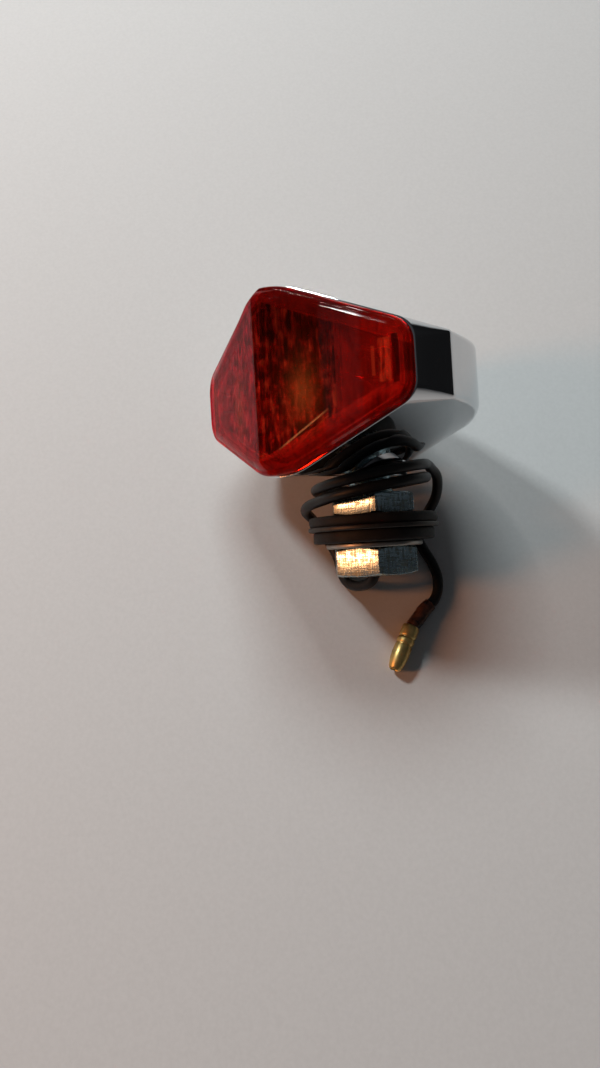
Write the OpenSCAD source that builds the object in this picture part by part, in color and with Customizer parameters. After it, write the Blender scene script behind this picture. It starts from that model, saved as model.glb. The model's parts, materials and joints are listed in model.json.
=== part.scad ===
// Chromed marker light with a faceted red lens, a hollow mounting stud and its lead.
// Every piece is drawn on the bench: the stud's axis is Z, its underside of the upper rubber
// washer is Z = 0, the lens faces -Y. lie_down() then lays the lamp on its side as it rests
// on a table, on the back corner of the body and the rim of the lower rubber washer.

/* [Lamp body] */
// Width of the rim over its two pointed ends
body_w = 56; // [52:0.5:60]
// Height of the rim in the middle, before its corners are rounded
body_h = 40; // [38:0.5:42]
// Height of the short flat end of the rim
end_h = 13.4; // [12:0.2:15]
// How far the rim falls back from its middle to each end
rim_sweep = 8.2; // [7:0.2:9]
// From the middle of the rim back to the stud's axis
rim_to_stud = 27; // [26:0.5:29]
// Length of the flat sides behind the rim
side_d = 10; // [9:0.5:11]
// From the stud's axis to the back of the body
back_d = 16.2; // [15.6:0.2:18]
// Wall of the cast body
body_wall = 1.6; // [1.4:0.1:2]
// Height of the lamp's middle over the mounting plane
lamp_z = 28.2; // [27.6:0.2:30]

/* [Lens] */
// How far the lens's upright ridge stands before the rim
ridge_out = 5; // [4.6:0.2:5.6]
// Width of the bevel round the two front facets
bevel_w = 2.9; // [2.4:0.1:3.4]
// Chrome edge left showing round the lens
rim_show = 0.3; // [0.2:0.1:0.6]
// Depth of the lens's upright edge before the rim
lens_edge = 1.9; // [1.6:0.1:2.2]
// Thickness of the lens
lens_wall = 2; // [1.6:0.1:2.4]
// Depth of the lens's spigot inside the body
spigot_d = 2.4; // [2:0.1:3]
// Flutes moulded behind each front facet
flutes = 9; // [6:1:10]
// Width of one flute
flute_w = 1.7; // [1.5:0.1:1.8]
// Depth of one flute
flute_d = 0.7; // [0.4:0.1:0.8]
// Thickness of the gasket under the lens
gasket_t = 0.6; // [0.5:0.1:1]

/* [Lens screws] */
// Distance of each lens screw from the middle
screw_x = 19.5; // [18.5:0.5:20]
// Diameter of a lens screw
screw_d = 3; // [2.5:0.5:3]
// Diameter of its head
screw_head_d = 5.2; // [4.6:0.2:5.4]
// Outer diameter of the pillar it passes through
pillar_d = 7.4; // [7:0.2:8]

/* [Bulb and holder] */
// Diameter of the bulb's glass
glass_d = 8.6; // [8:0.2:8.8]
// Diameter of the bulb's brass cap
cap_d = 9; // [8.8:0.1:9.2]
// Length of the glass in front of the cap
glass_l = 13; // [11:0.5:14]
// Length of the cap
cap_l = 8.2; // [7.6:0.2:9]
// Wall of the bulb holder
holder_wall = 0.8; // [0.6:0.1:1]
// Travel of the sprung contact when the bulb is pushed in
push_travel = 1.2; // [0.8:0.1:1.5]
// Wire of the contact spring
spring_wire = 0.5; // [0.4:0.05:0.6]
// Coils of the contact spring
spring_coils = 5; // [4:1:6]

/* [Stud and nuts] */
// Diameter of the hollow mounting stud
stud_d = 10; // [9:0.5:10]
// Bore of the stud, for the lead
stud_bore = 4; // [3.6:0.2:4.6]
// Width across the flats of both nuts
nut_flats = 17; // [16:0.5:17]
// Height of the thin upper nut
jam_nut_h = 4.5; // [4:0.5:5]
// Height of the lower nut
clamp_nut_h = 6; // [5:0.5:7]
// How far the stud's end sits up inside the lower nut
stud_recess = 3.8; // [3:0.2:4.4]

/* [Washers] */
// Diameter of the upper rubber washer
rubber_upper_d = 27.8; // [26:0.2:28]
// Thickness of the upper rubber washer
rubber_upper_t = 2.2; // [1.8:0.1:2.4]
// How far the steel washer stands out over the upper rubber washer, all round
steel_over = 0.2; // [0:0.05:0.3]
// Thickness of the steel washer
steel_t = 1; // [0.8:0.1:1.2]
// Diameter of the lower rubber washer
rubber_lower_d = 26.2; // [25:0.2:26.4]
// Thickness of the lower rubber washer
rubber_lower_t = 2.6; // [2:0.1:3]
// Diameter of the plain washer on the lower nut
plain_d = 20.9; // [20:0.1:21]
// Thickness of the plain washer
plain_t = 1.2; // [1:0.1:1.6]

/* [Lead] */
// Diameter of the insulated lead
lead_d = 2.3; // [2:0.1:2.4]
// Height that the winding gains in one loop
winding_pitch = 2.75; // [2.7:0.05:2.9]
// Radius of the winding's loops
winding_r = 12; // [11.8:0.1:12.4]
// Diameter of the bullet connector
bullet_d = 3.9; // [3.6:0.1:4]
// Length of the bullet connector
bullet_l = 10.6; // [10:0.2:13]

/* [Hidden] */
$fn = 64;

// Roll of the lamp about the stud as it lies: the lens looks up and to the left
roll = 45.6;
// Slack round a part that slips into another
slip = 0.05;
// Gap kept between soft or moving neighbours
gap = 0.3;
// Overlap that makes a cut run clear of a face
cut = 1;
// Rounding of the hexagon's top and bottom corners, and of its four end corners
crown_r = 14;
end_r = 4.5;
crown_steps = 6;
end_steps = 4;

// How far a front facet falls back for each mm from the ridge
facet_slope = 0.39;

rim_y = -rim_to_stud;
half_w = body_w / 2;
half_h = body_h / 2;
half_end = end_h / 2;

steel_d = rubber_upper_d + 2 * steel_over;

// Sizes of the body's sections from the rim to the back: y at the middle, extra y at the ends,
// then half width, half height and half end height
body_stations = [
    [rim_y, rim_sweep, half_w, half_h, half_end],
    [rim_y + side_d, rim_sweep, half_w + 0.4, half_h - 0.7, half_end - 0.7],
    [rim_y + side_d + 18, 2.5, half_w - 2, half_h - 1.5, half_end - 0.2],
    [back_d - 6.6, 0.8, half_w - 6.8, half_h - 4.6, half_end + 1],
    [back_d - 2, 0, half_w - 11.5, half_h - 8, half_end],
    [back_d, 0, half_w - 16, half_h - 11.4, half_end - 1.6]];

function unit(v) = v / norm(v);
function flat(lists) = [for (list = lists) for (item = list) item];

// One rounded corner at p between its neighbours a and b, met clockwise
function corner(a, p, b, r, steps) =
    let (u = unit(a - p), v = unit(b - p), half = acos(u * v) / 2,
         centre = p + unit(u + v) * r / sin(half), start = p + u * r / tan(half) - centre,
         from = atan2(start[1], start[0]))
    [for (i = [0 : steps])
        let (a = from - (180 - 2 * half) * i / steps) centre + r * [cos(a), sin(a)]];

// Hexagon with a point up and down and short upright ends, corners rounded
function hexagon(w, h, e, crown = crown_r, end = end_r) =
    let (p = [[0, h], [w, e], [w, -e], [0, -h], [-w, -e], [-w, e]])
    flat([for (i = [0 : 5])
        corner(p[(i + 5) % 6], p[i], p[(i + 1) % 6],
               i % 3 == 0 ? crown : end, i % 3 == 0 ? crown_steps : end_steps)]);

// The hexagon as a section of the lamp, y at its middle and y_end where the rim's ends are
function section(w, h, e, y, y_end, crown = crown_r, end = end_r) =
    [for (q = hexagon(w, h, e, crown, end)) [q[0], y + (y_end - y) * abs(q[0]) / half_w, q[1] + lamp_z]];

// A point on the middle line at the top, and one at the bottom, of each section
top_mid = crown_steps / 2;
bottom_mid = crown_steps + 1 + 2 * (end_steps + 1) + crown_steps / 2;

// Faces of a skin over rings of n points, its caps in two halves from index a to index b
function skin_faces(rings, n, a, b) =
    let (last = (rings - 1) * n)
    concat(
        [for (i = [0 : rings - 2]) for (k = [0 : n - 1])
            [i * n + k, (i + 1) * n + k, (i + 1) * n + (k + 1) % n]],
        [for (i = [0 : rings - 2]) for (k = [0 : n - 1])
            [i * n + k, (i + 1) * n + (k + 1) % n, i * n + (k + 1) % n]],
        [[for (k = [a : b]) k], [for (k = [b : n + a]) k % n]],
        [[for (k = [b : -1 : a]) last + k], [for (k = [n + a : -1 : b]) last + k % n]]);

// Solid whose skin runs over a list of sections from front to back
module skin(rings) {
    n = len(rings[0]);
    polyhedron(flat(rings), skin_faces(len(rings), n, top_mid, bottom_mid), convexity = 6);
}

// Normals carried along a path without twist
function carry(v, t) = unit(v - (v * t) * t);
function normals(ts, first) =
    [for (i = 0, v = carry(first, ts[0]); i < len(ts); i = i + 1, v = carry(v, ts[min(i, len(ts) - 1)])) v];
function tangents(path, t0, t1) =
    let (n = len(path))
    [for (i = [0 : n - 1])
        i == 0 ? unit(t0) : i == n - 1 ? unit(t1) : unit(path[i + 1] - path[i - 1])];

// Round tube along a path that starts along t0 and ends along t1
module tube(path, d, sides, t0, t1, side = [0, 0, 1]) {
    ts = tangents(path, t0, t1);
    ns = normals(ts, side);
    rings = [for (i = [0 : len(path) - 1])
        let (b = cross(ts[i], ns[i]))
        [for (k = [0 : sides - 1])
            path[i] + d / 2 * (cos(360 * k / sides) * ns[i] + sin(360 * k / sides) * b)]];
    polyhedron(flat(rings), skin_faces(len(rings), sides, 0, sides / 2), convexity = 10);
}

// Smooth curve through chosen points, with a number of steps between each two
function spline_point(a, b, c, d, t) =
    0.5 * (2 * b + (c - a) * t + (2 * a - 5 * b + 4 * c - d) * t * t
           + (3 * b - a - 3 * c + d) * t * t * t);
function smooth(p, steps) =
    let (n = len(p))
    concat([for (i = [0 : n - 2]) for (k = [0 : steps - 1])
        spline_point(p[max(i - 1, 0)], p[i], p[i + 1], p[min(i + 2, n - 1)], k / steps)],
        [p[n - 1]]);

function length(path) =
    [for (i = [1 : len(path) - 1]) norm(path[i] - path[i - 1])] * [for (i = [1 : len(path) - 1]) 1];

// How the lamp lies

// Stud space: x across, y up along the stud, z away from the table before the lamp leans
function bench_to_stud(p) =
    [cos(roll) * p[0] + sin(roll) * p[1], p[2], sin(roll) * p[0] - cos(roll) * p[1]];
rubber_edge = [-steel_t - rubber_lower_t, rubber_lower_d / 2];
body_points = [for (s = body_stations)
    for (q = section(s[2], s[3], s[4], s[0], s[0] + s[1])) bench_to_stud(q)];
lean = max([for (q = body_points) atan((-q[2] - rubber_edge[1]) / (q[1] - rubber_edge[0]))]);
table_z = rubber_edge[0] * sin(lean) - rubber_edge[1] * cos(lean);
function stud_to_world(p) =
    [p[0], cos(lean) * p[1] - sin(lean) * p[2], sin(lean) * p[1] + cos(lean) * p[2]];

module in_stud_space() {
    rotate([lean, 0, 0]) children();
}
module lie_down() {
    rotate([lean, 0, 0]) rotate([-90, 0, 0]) rotate([0, 0, -roll]) children();
}

// Body

foot_d = 16;
// How deep the lens screws' heads sit below the back
seat_depth = 14;
foot_z = lamp_z - half_h + 1.8;
pad_z = foot_z + 5.1;
pillar_front = rim_y + rim_sweep * screw_x / half_w + spigot_d + 0.8;
screw_tip = rim_y - ridge_out + facet_slope * screw_x + 1.8;
head_seat = back_d - seat_depth;

// Section of the body shrunk by its wall
function cavity_section(s, dy, more = 0) =
    section(s[2] - body_wall - more, s[3] - body_wall * 1.1 - more, s[4] - body_wall * 0.6 - more * 0.6,
            s[0] + dy, s[0] + s[1] + dy, crown_r - body_wall, end_r - body_wall);

module foot() {
    translate([0, 0, foot_z]) cylinder(d = foot_d, h = pad_z - foot_z);
}

module housing() {
    color("gainsboro")
    difference() {
        union() {
            skin([for (s = body_stations) section(s[2], s[3], s[4], s[0], s[0] + s[1])]);
            foot();
        }
        difference() {
            skin([cavity_section(body_stations[0], -cut),
                  for (i = [1 : 4]) cavity_section(body_stations[i], i == 4 ? -0.2 : 0)]);
            foot();
            for (side = [-1, 1])
                translate([side * screw_x, pillar_front, lamp_z])
                    rotate([-90, 0, 0]) cylinder(d = pillar_d, h = back_d - pillar_front + cut);
        }
        translate([0, 0, foot_z - cut]) cylinder(d = stud_d + 2 * slip, h = pad_z - foot_z + 2 * cut);
        for (side = [-1, 1])
            translate([side * screw_x, 0, lamp_z]) rotate([-90, 0, 0]) {
                translate([0, 0, pillar_front - cut])
                    cylinder(d = screw_d + 2 * slip, h = head_seat - pillar_front + 2 * cut);
                translate([0, 0, head_seat]) cylinder(d = screw_head_d + 2 * gap, h = back_d);
            }
    }
}

// Lens

// Sizes of the lens's bevel edge: half width, half height, half end height of the front facets
front_w = half_w - rim_show - 1.2;
front_h = half_h - rim_show - bevel_w / cos(27);
front_end = half_end - 2.6;
lens_y = rim_y - gasket_t;
ridge_y = rim_y - ridge_out;
spigot_w = half_w - body_wall - gap;
spigot_h = half_h - body_wall * 1.1 - gap;
spigot_end = half_end - body_wall * 0.6 - gap;

module lens_shape() {
    edge_w = half_w - rim_show;
    edge_h = half_h - rim_show;
    edge_end = half_end - rim_show / 2;
    skin([
        section(front_w, front_h, front_end, ridge_y, ridge_y + facet_slope * half_w, 9, 3),
        section(edge_w - 0.7, edge_h - 1.1, edge_end - 0.7, lens_y - lens_edge - 0.65, lens_y + rim_sweep - lens_edge - 0.2,
                12, 3.8),
        section(edge_w - 0.15, edge_h - 0.3, edge_end - 0.2, lens_y - lens_edge, lens_y + rim_sweep - lens_edge + 0.35,
                13.5, 4.2),
        section(edge_w, edge_h, edge_end, lens_y - lens_edge + 0.8, lens_y + rim_sweep - lens_edge + 1),
        section(edge_w, edge_h, edge_end, lens_y, lens_y + rim_sweep),
        section(spigot_w, spigot_h, spigot_end, lens_y + 0.01, lens_y + rim_sweep + 0.01,
                crown_r - body_wall, end_r - body_wall),
        section(spigot_w, spigot_h, spigot_end, rim_y + spigot_d, rim_y + rim_sweep + spigot_d,
                crown_r - body_wall, end_r - body_wall)]);
}

// Plan of the space behind the front facets: upright flutes each side of the ridge
module flute_plan() {
    inner = ridge_y + lens_wall;
    half = [for (i = [0 : flutes - 1]) for (side = [0, 1])
        let (x = (i + (side == 0 ? 0.02 : 0.5)) * flute_w)
        [x, inner + facet_slope * x + (side == 0 ? 0 : flute_d)]];
    smooth_from = flutes * flute_w;
    right = concat(half, [[smooth_from, inner + facet_slope * smooth_from],
                          [half_w, inner + facet_slope * half_w]]);
    n = len(right);
    polygon(concat(right, [[half_w, 0], [-half_w, 0]],
                   [for (i = [n - 1 : -1 : 1]) [-right[i][0], right[i][1]]]));
}

boss_d = 5.4;
module lens() {
    color([0.75, 0.04, 0.03, 0.6])
    difference() {
        lens_shape();
        difference() {
            intersection() {
                skin([
                    section(front_w - lens_wall, front_h - lens_wall, front_end - lens_wall / 2,
                            ridge_y - cut, ridge_y + facet_slope * half_w - cut, 8, 1.5),
                    section(spigot_w - lens_wall, spigot_h - lens_wall, spigot_end - lens_wall / 2,
                            lens_y, lens_y + rim_sweep, 8, 1.5),
                    section(spigot_w - lens_wall, spigot_h - lens_wall, spigot_end - lens_wall / 2,
                            rim_y + spigot_d + cut, rim_y + rim_sweep + spigot_d + cut, 8, 1.5)]);
                translate([0, 0, lamp_z - half_h]) linear_extrude(body_h) flute_plan();
            }
            for (side = [-1, 1])
                translate([side * screw_x, ridge_y, lamp_z])
                    rotate([-90, 0, 0]) cylinder(d = boss_d, h = pillar_front - ridge_y - gap);
        }
        for (side = [-1, 1])
            translate([side * screw_x, screw_tip - 0.3, lamp_z])
                rotate([-90, 0, 0]) cylinder(d = screw_d + 2 * slip, h = 3 * spigot_d + 4);
    }
}

module lens_gasket() {
    color("black")
    difference() {
        skin([section(half_w - 0.9, half_h - 0.9, half_end - 0.5, lens_y + slip, lens_y + rim_sweep + slip),
              section(half_w - 0.9, half_h - 0.9, half_end - 0.5, rim_y, rim_y + rim_sweep)]);
        skin([section(spigot_w + slip, spigot_h + slip, spigot_end + slip, lens_y - cut,
                      lens_y + rim_sweep - cut, crown_r - body_wall, end_r - body_wall),
              section(spigot_w + slip, spigot_h + slip, spigot_end + slip, rim_y + cut,
                      rim_y + rim_sweep + cut, crown_r - body_wall, end_r - body_wall)]);
    }
}

module lens_screws() {
    color("silver")
    for (side = [-1, 1])
        translate([side * screw_x, 0, lamp_z]) rotate([-90, 0, 0])
            difference() {
                union() {
                    translate([0, 0, screw_tip]) cylinder(d = screw_d, h = head_seat - screw_tip + 0.5);
                    translate([0, 0, head_seat]) cylinder(d = screw_head_d, h = 1.8);
                }
                for (turn = [0, 90])
                    rotate([0, 0, turn]) translate([-1.6, -0.35, head_seat + 0.8]) cube([3.2, 0.7, 2]);
            }
}

// Reflector and bulb

// Depths below the rim of the bulb's cap and of the holder's mouth
bulb_depth = 16.5;
holder_depth = 11;
cap_front = rim_y + bulb_depth;
holder_r = cap_d / 2 + slip + holder_wall;
holder_front = rim_y + holder_depth;
plunger_y = cap_front + cap_l + 1;
plunger_t = 1;
plunger_in = 0.8;
spring_room = 4.4;
insulator_y = plunger_y + plunger_t + spring_room;
insulator_t = 1.6;
terminal_head = 0.6;
dish_front = rim_y + spigot_d + gap;
dish_t = 0.9;
dish_floor = 9;

module reflector() {
    w = half_w - body_wall - gap;
    h = half_h - body_wall * 1.1 - gap;
    e = half_end - body_wall * 0.6 - gap;
    crown = crown_r - body_wall;
    color("whitesmoke")
    difference() {
        skin([section(w, h, e, dish_front, dish_front + rim_sweep, crown, end_r - body_wall),
              section(w, h, e, dish_front + dish_t, dish_front + rim_sweep + dish_t, crown, end_r - body_wall),
              section(w - 7, h - 5, e - 1, dish_front + dish_floor, dish_front + dish_floor + 0.4, 9, 2),
              section(w - 12, h - 8, e - 2, dish_front + dish_floor + 1, dish_front + dish_floor + 1, 6, 1.5)]);
        skin([section(w - 1, h - 1, e - 0.8, dish_front - cut, dish_front + rim_sweep - cut, crown - 1, 2),
              section(w - 8, h - 6, e - 1.8, dish_front + dish_floor - dish_t,
                      dish_front + dish_floor - dish_t + 0.4, 8, 1.4),
              section(w - 13, h - 9, e - 2.8, dish_front + dish_floor + 0.1,
                      dish_front + dish_floor + 0.1, 5, 1)]);
        translate([0, dish_front, lamp_z]) rotate([-90, 0, 0])
            cylinder(r = holder_r + slip, h = dish_floor + 3);
        for (side = [-1, 1])
            translate([side * screw_x, dish_front - cut, lamp_z]) rotate([-90, 0, 0])
                cylinder(d = pillar_d + 2 * gap, h = dish_floor + 8);
        for (side = [-1, 1])
            translate([side * rivet_x, dish_front, lamp_z]) rotate([-90, 0, 0])
                cylinder(d = rivet_d + 2 * slip, h = dish_floor + 3);
    }
}

// The bayonet pins: diameter, and distance from the cap's front
pin_d = 1.8;
pin_y = 2.6;
// How far the rivets sit outside the holder
rivet_out = 1.9;
rivet_x = holder_r + rivet_out;
rivet_d = 1.6;
flange_front = dish_front + dish_floor + 1;
module bulb_holder() {
    color("silver")
    difference() {
        union() {
            translate([0, holder_front, lamp_z]) rotate([-90, 0, 0])
                cylinder(r = holder_r, h = insulator_y + insulator_t + 0.6 - holder_front);
            translate([0, flange_front, lamp_z]) rotate([-90, 0, 0])
                cylinder(r = rivet_x + 1.7, h = 0.8);
        }
        translate([0, holder_front - cut, lamp_z]) rotate([-90, 0, 0])
            cylinder(d = cap_d + 2 * slip, h = insulator_y + insulator_t - holder_front + cut);
        translate([0, insulator_y, lamp_z]) rotate([-90, 0, 0]) cylinder(d = 5, h = 6);
        for (side = [-1, 1])
            translate([side * rivet_x, flange_front - cut, lamp_z]) rotate([-90, 0, 0])
                cylinder(d = rivet_d + 2 * slip, h = 4);
        // Slots for the two bayonet pins
        translate([-holder_r - 1, holder_front - cut, lamp_z - pin_d / 2 - 0.25])
            cube([2 * holder_r + 2, cap_front - holder_front + cut + pin_y + pin_d / 2 + push_travel + gap,
                  pin_d + 0.5]);
    }
}

module holder_rivets() {
    color("silver")
    for (side = [-1, 1])
        translate([side * rivet_x, 0, lamp_z]) rotate([-90, 0, 0]) {
            translate([0, 0, flange_front - 2.6]) cylinder(d = rivet_d, h = 3.4);
            translate([0, 0, flange_front + 0.8]) cylinder(d = 2.6, h = 0.6);
        }
}

// The glass stem that carries the filament's supports
stem_d = 4.2;
support_x = 1.7;
support_l = 7.6;
module bulb_glass() {
    r = glass_d / 2;
    color([1, 0.85, 0.55, 0.5])
    translate([0, cap_front, lamp_z]) rotate([90, 0, 0])
        rotate_extrude() difference() {
            union() {
                square([r, glass_l - r]);
                intersection() {
                    translate([0, glass_l - r]) circle(r = r);
                    translate([0, glass_l - r]) square([r, r]);
                }
            }
            union() {
                translate([-cut, -cut]) square([stem_d / 2 + slip + cut, 2 * cut]);
                translate([-cut, 0.6]) square([r - 0.5 + cut, glass_l - r - 0.6]);
                intersection() {
                    translate([0, glass_l - r]) circle(r = r - 0.5);
                    translate([-cut, glass_l - r - 0.01]) square([r - 0.5 + cut, r]);
                }
            }
        }
}

module bulb_cap() {
    color("goldenrod")
    translate([0, cap_front, lamp_z]) rotate([-90, 0, 0]) {
        cylinder(d = cap_d, h = cap_l - 1);
        translate([0, 0, cap_l - 1]) cylinder(d = 5, h = 1);
        translate([0, 0, cap_l - 0.01]) cylinder(d = 2.4, h = 1.01);
        translate([0, 0, pin_y]) rotate([0, 90, 0]) cylinder(d = pin_d, h = cap_d + 1.4, center = true);
    }
}

module bulb_filament() {
    color("dimgray") {
        for (side = [-1, 1])
            translate([side * support_x, cap_front, lamp_z]) rotate([90, 0, 0]) cylinder(d = 0.5, h = support_l);
        translate([-support_x - 0.25, cap_front - support_l + 0.2, lamp_z]) rotate([0, 90, 0])
            cylinder(d = 0.45, h = 2 * support_x + 0.5);
        translate([0, cap_front, lamp_z]) rotate([90, 0, 0]) cylinder(d = stem_d, h = 0.6);
    }
}

module contact_plunger() {
    color("goldenrod")
    translate([0, plunger_y, lamp_z]) rotate([-90, 0, 0]) {
        cylinder(d = cap_d - 2 * plunger_in, h = plunger_t);
        cylinder(d = 2.6, h = plunger_t + spring_room - terminal_head - push_travel - 2 * gap);
    }
}

module contact_spring() {
    r = 2.5;
    steps = 8 * spring_coils;
    free = spring_room - 2 * spring_wire - 0.1;
    helix = [for (i = [0 : steps])
        [r * cos(360 * i / 8), plunger_y + plunger_t + spring_wire / 2 + 0.3 + free * i / steps,
         lamp_z + r * sin(360 * i / 8)]];
    color("silver") tube(helix, spring_wire, 6, [0, 0.2, 1], [0, 0.2, 1], [1, 0, 0]);
}

module insulator_disc() {
    color("saddlebrown")
    difference() {
        translate([0, insulator_y, lamp_z]) rotate([-90, 0, 0])
            cylinder(d = cap_d, h = insulator_t - slip);
        translate([0, insulator_y - cut, lamp_z]) rotate([-90, 0, 0])
            cylinder(d = 1.8 + 2 * slip, h = insulator_t + 2 * cut);
    }
}

terminal_end = insulator_y + insulator_t + 2.4;
module feed_terminal() {
    color("goldenrod")
    translate([0, 0, lamp_z]) rotate([-90, 0, 0]) {
        translate([0, 0, insulator_y - terminal_head]) cylinder(d = 4, h = terminal_head);
        translate([0, 0, insulator_y - 0.1]) cylinder(d = 1.8, h = terminal_end - insulator_y - 0.5);
        translate([0, 0, terminal_end - 1.2]) cylinder(d = 3.4, h = 1.2);
    }
}

// Stud, nuts and washers

stud_end = -steel_t - rubber_lower_t - plain_t - clamp_nut_h + stud_recess;
head_t = 2;
washer_in_t = 0.8;
stud_top = pad_z + washer_in_t + head_t;
module stud() {
    top = pad_z + washer_in_t;
    color("darkgray")
    difference() {
        union() {
            translate([0, 0, stud_end]) cylinder(d = stud_d, h = top - stud_end + head_t);
            translate([0, 0, top]) cylinder(d = stud_d + 3.4, h = head_t);
        }
        translate([0, 0, stud_end - cut]) cylinder(d = stud_bore, h = top - stud_end + head_t + 2 * cut);
        translate([0, 0, top + head_t - 1.2]) cylinder(d1 = stud_bore, d2 = stud_bore + 2.6, h = 1.3);
    }
}

module ring(z, d, t, hole) {
    translate([0, 0, z]) difference() {
        cylinder(d = d, h = t);
        translate([0, 0, -cut]) cylinder(d = hole, h = t + 2 * cut);
    }
}

module stud_spring_washer() {
    color("gray") ring(pad_z, stud_d + 3.6, washer_in_t, stud_d + 2 * slip);
}

// Hexagon nut with both its faces chamfered, a corner towards the lens side
module nut(z, h) {
    r = nut_flats / 2 / cos(30);
    turn = -roll;
    translate([0, 0, z]) rotate([0, 0, turn]) difference() {
        intersection() {
            cylinder(r = r, h = h, $fn = 6);
            union() {
                translate([0, 0, 0.6]) cylinder(r = r + cut, h = h - 1.2);
                cylinder(r1 = nut_flats / 2 - 0.2, r2 = r + 0.1, h = 0.6 + 0.001);
                translate([0, 0, h - 0.601]) cylinder(r1 = r + 0.1, r2 = nut_flats / 2 - 0.2, h = 0.601);
            }
        }
        translate([0, 0, -cut]) cylinder(d = stud_d + 2 * slip, h = h + 2 * cut);
    }
}

module jam_nut() {
    color("silver") nut(rubber_upper_t, jam_nut_h);
}
module rubber_washer_upper() {
    color("black") ring(0, rubber_upper_d, rubber_upper_t, stud_d + 2 * slip);
}
module steel_washer() {
    color("silver") ring(-steel_t, steel_d, steel_t, stud_d + 4 * slip);
}
module rubber_washer_lower() {
    color("black") ring(-steel_t - rubber_lower_t, rubber_lower_d, rubber_lower_t, stud_d + 2 * slip);
}
plain_z = -steel_t - rubber_lower_t - plain_t;
module plain_washer() {
    color("silver") ring(plain_z, plain_d, plain_t, stud_d + 4 * slip);
}
module clamp_nut() {
    color("silver") nut(plain_z - clamp_nut_h, clamp_nut_h);
}

// Lead

grommet_t = 1.2;
exit_y = stud_end - grommet_t;
module lead_grommet() {
    color("black")
    difference() {
        union() {
            translate([0, 0, exit_y]) cylinder(d = 6.4, h = grommet_t);
            translate([0, 0, exit_y]) cylinder(d = stud_bore - 0.02, h = grommet_t + 4);
        }
        translate([0, 0, exit_y - cut]) cylinder(d = lead_d + 2 * slip, h = grommet_t + 4 + 2 * cut);
    }
}

// The lead inside the lamp, from the terminal down the stud's bore
module inner_lead() {
    route = [[0, terminal_end, lamp_z], [0, terminal_end + 1.6, lamp_z],
             [0, terminal_end + 3.6, lamp_z - 2.6], [0, terminal_end + 2, stud_top + 3.7],
             [0, terminal_end - 4, stud_top + 1.7], [0, 0.6, stud_top - 0.7], [0, 0, stud_top - 1.8],
             [0, 0, pad_z - 6], [0, 0, exit_y + 6], [0, 0, exit_y]];
    color("black") tube(smooth(route, 2), lead_d, 8, [0, 1, 0], [0, 0, -1], [1, 0, 0]);
}

// The lead's turn out of the stud and up past the washers, in stud space
exit_route = [[0, -9.4, 0], [-0.3, -10.9, -0.3], [-1, -12.2, -1.2], [-2.2, -13, -2.8],
              [-3.9, -13.3, -5], [-5.5, -12.8, -7.2], [-6.6, -11.3, -8.8], [-7.2, -8.8, -9.6],
              [-7.9, -6, -10.6], [-9.3, -3.2, -11.6], [-11, -0.4, -11.4], [-12.8, 2.2, -9.2],
              [-14.4, 3.9, -5.2], [-13.9, 4.9, -0.6]];
// The lead's way down outside the winding and past the washers, in stud space
drop_route = [[13.3, 11.9, -0.8], [15.3, 9.9, -4.2], [15.4, 6, -7.6], [13.6, 2.2, -10.7],
              [11.4, -1, -12.3]];
// The free tail, with x and y in the lamp's frame and its height over the table
tail_route = [[11.3, 0.6, 1.4], [12.5, -2.4, 1.25], [14, -5.6, 1.2], [14.8, -9, 1.2],
              [14.5, -12, 1.2], [13.5, -14.2, 1.3]];
// The stretch inside the sleeve, then the bullet connector's root and direction
sleeve_route = [[12.4, -15.3, 1.6], [10.9, -16.6, 1.7], [8.9, -19, 1.9], [7.6, -20.2, 1.97]];
bullet_way = unit([-0.45, -0.89, 0]);

winding_from = 150;
winding_turns = 1.36;
winding_z = rubber_upper_t + 4.9;
winding_tilt = 1.5;
function winding_point(a) =
    [winding_r * cos(winding_from - a),
     winding_z + winding_pitch * a / 360 + winding_tilt * cos(winding_from - a),
     winding_r * sin(winding_from - a)];
function winding_way(a) = unit(winding_point(a + 1) - winding_point(a - 1));
winding_last = 360 * winding_turns;
loop_rings = 24;
winding_steps = round(loop_rings * winding_turns);
winding_core = [for (i = [0 : winding_steps]) winding_point(winding_last * i / winding_steps)];
winding_path = concat([winding_core[0] - lead_d * winding_way(0)], winding_core,
                      [winding_core[winding_steps] + lead_d * winding_way(winding_last)]);

// Least distance between stretches of the winding that are at least half a loop apart
winding_gap = min([for (i = [0 : winding_steps - loop_rings / 2])
    for (k = [i + loop_rings / 2 : winding_steps]) norm(winding_core[i] - winding_core[k])]) - lead_d;
echo(least_gap_of_the_winding = winding_gap);

function on_table(p) = [p[0], p[1], p[2] + table_z];
exit_path = smooth(concat([[0, exit_y, 0]], exit_route, [winding_path[0]]), 2);
tail_points = concat([for (p = concat([winding_path[len(winding_path) - 1]], drop_route)) stud_to_world(p)],
                     [for (p = concat(tail_route, [sleeve_route[0]])) on_table(p)]);
tail_path = smooth(tail_points, 2);
sleeve_path = smooth([for (p = sleeve_route) on_table(p)], 2);
sleeve_way = unit(sleeve_route[1] - sleeve_route[0]);
echo(lean = lean, table_z = table_z);
echo(length_of_the_lead = length(exit_path) + length(winding_path) + length(tail_path) + length(sleeve_path));

module lead_exit() {
    color("black") in_stud_space()
        tube(exit_path, lead_d, 8, [0, -1, 0], winding_way(0), [1, 0, 0]);
}
module lead_winding() {
    color("black") in_stud_space()
        tube(winding_path, lead_d, 6, winding_way(0), winding_way(winding_last), [0, 1, 0]);
}
module lead_tail() {
    color("black")
        tube(tail_path, lead_d, 8, stud_to_world(winding_way(winding_last)), sleeve_way, [0, 0, 1]);
}
module lead_sleeve() {
    color("maroon") tube(sleeve_path, lead_d + 0.9, 8, sleeve_way, bullet_way, [0, 0, 1]);
}

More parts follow.
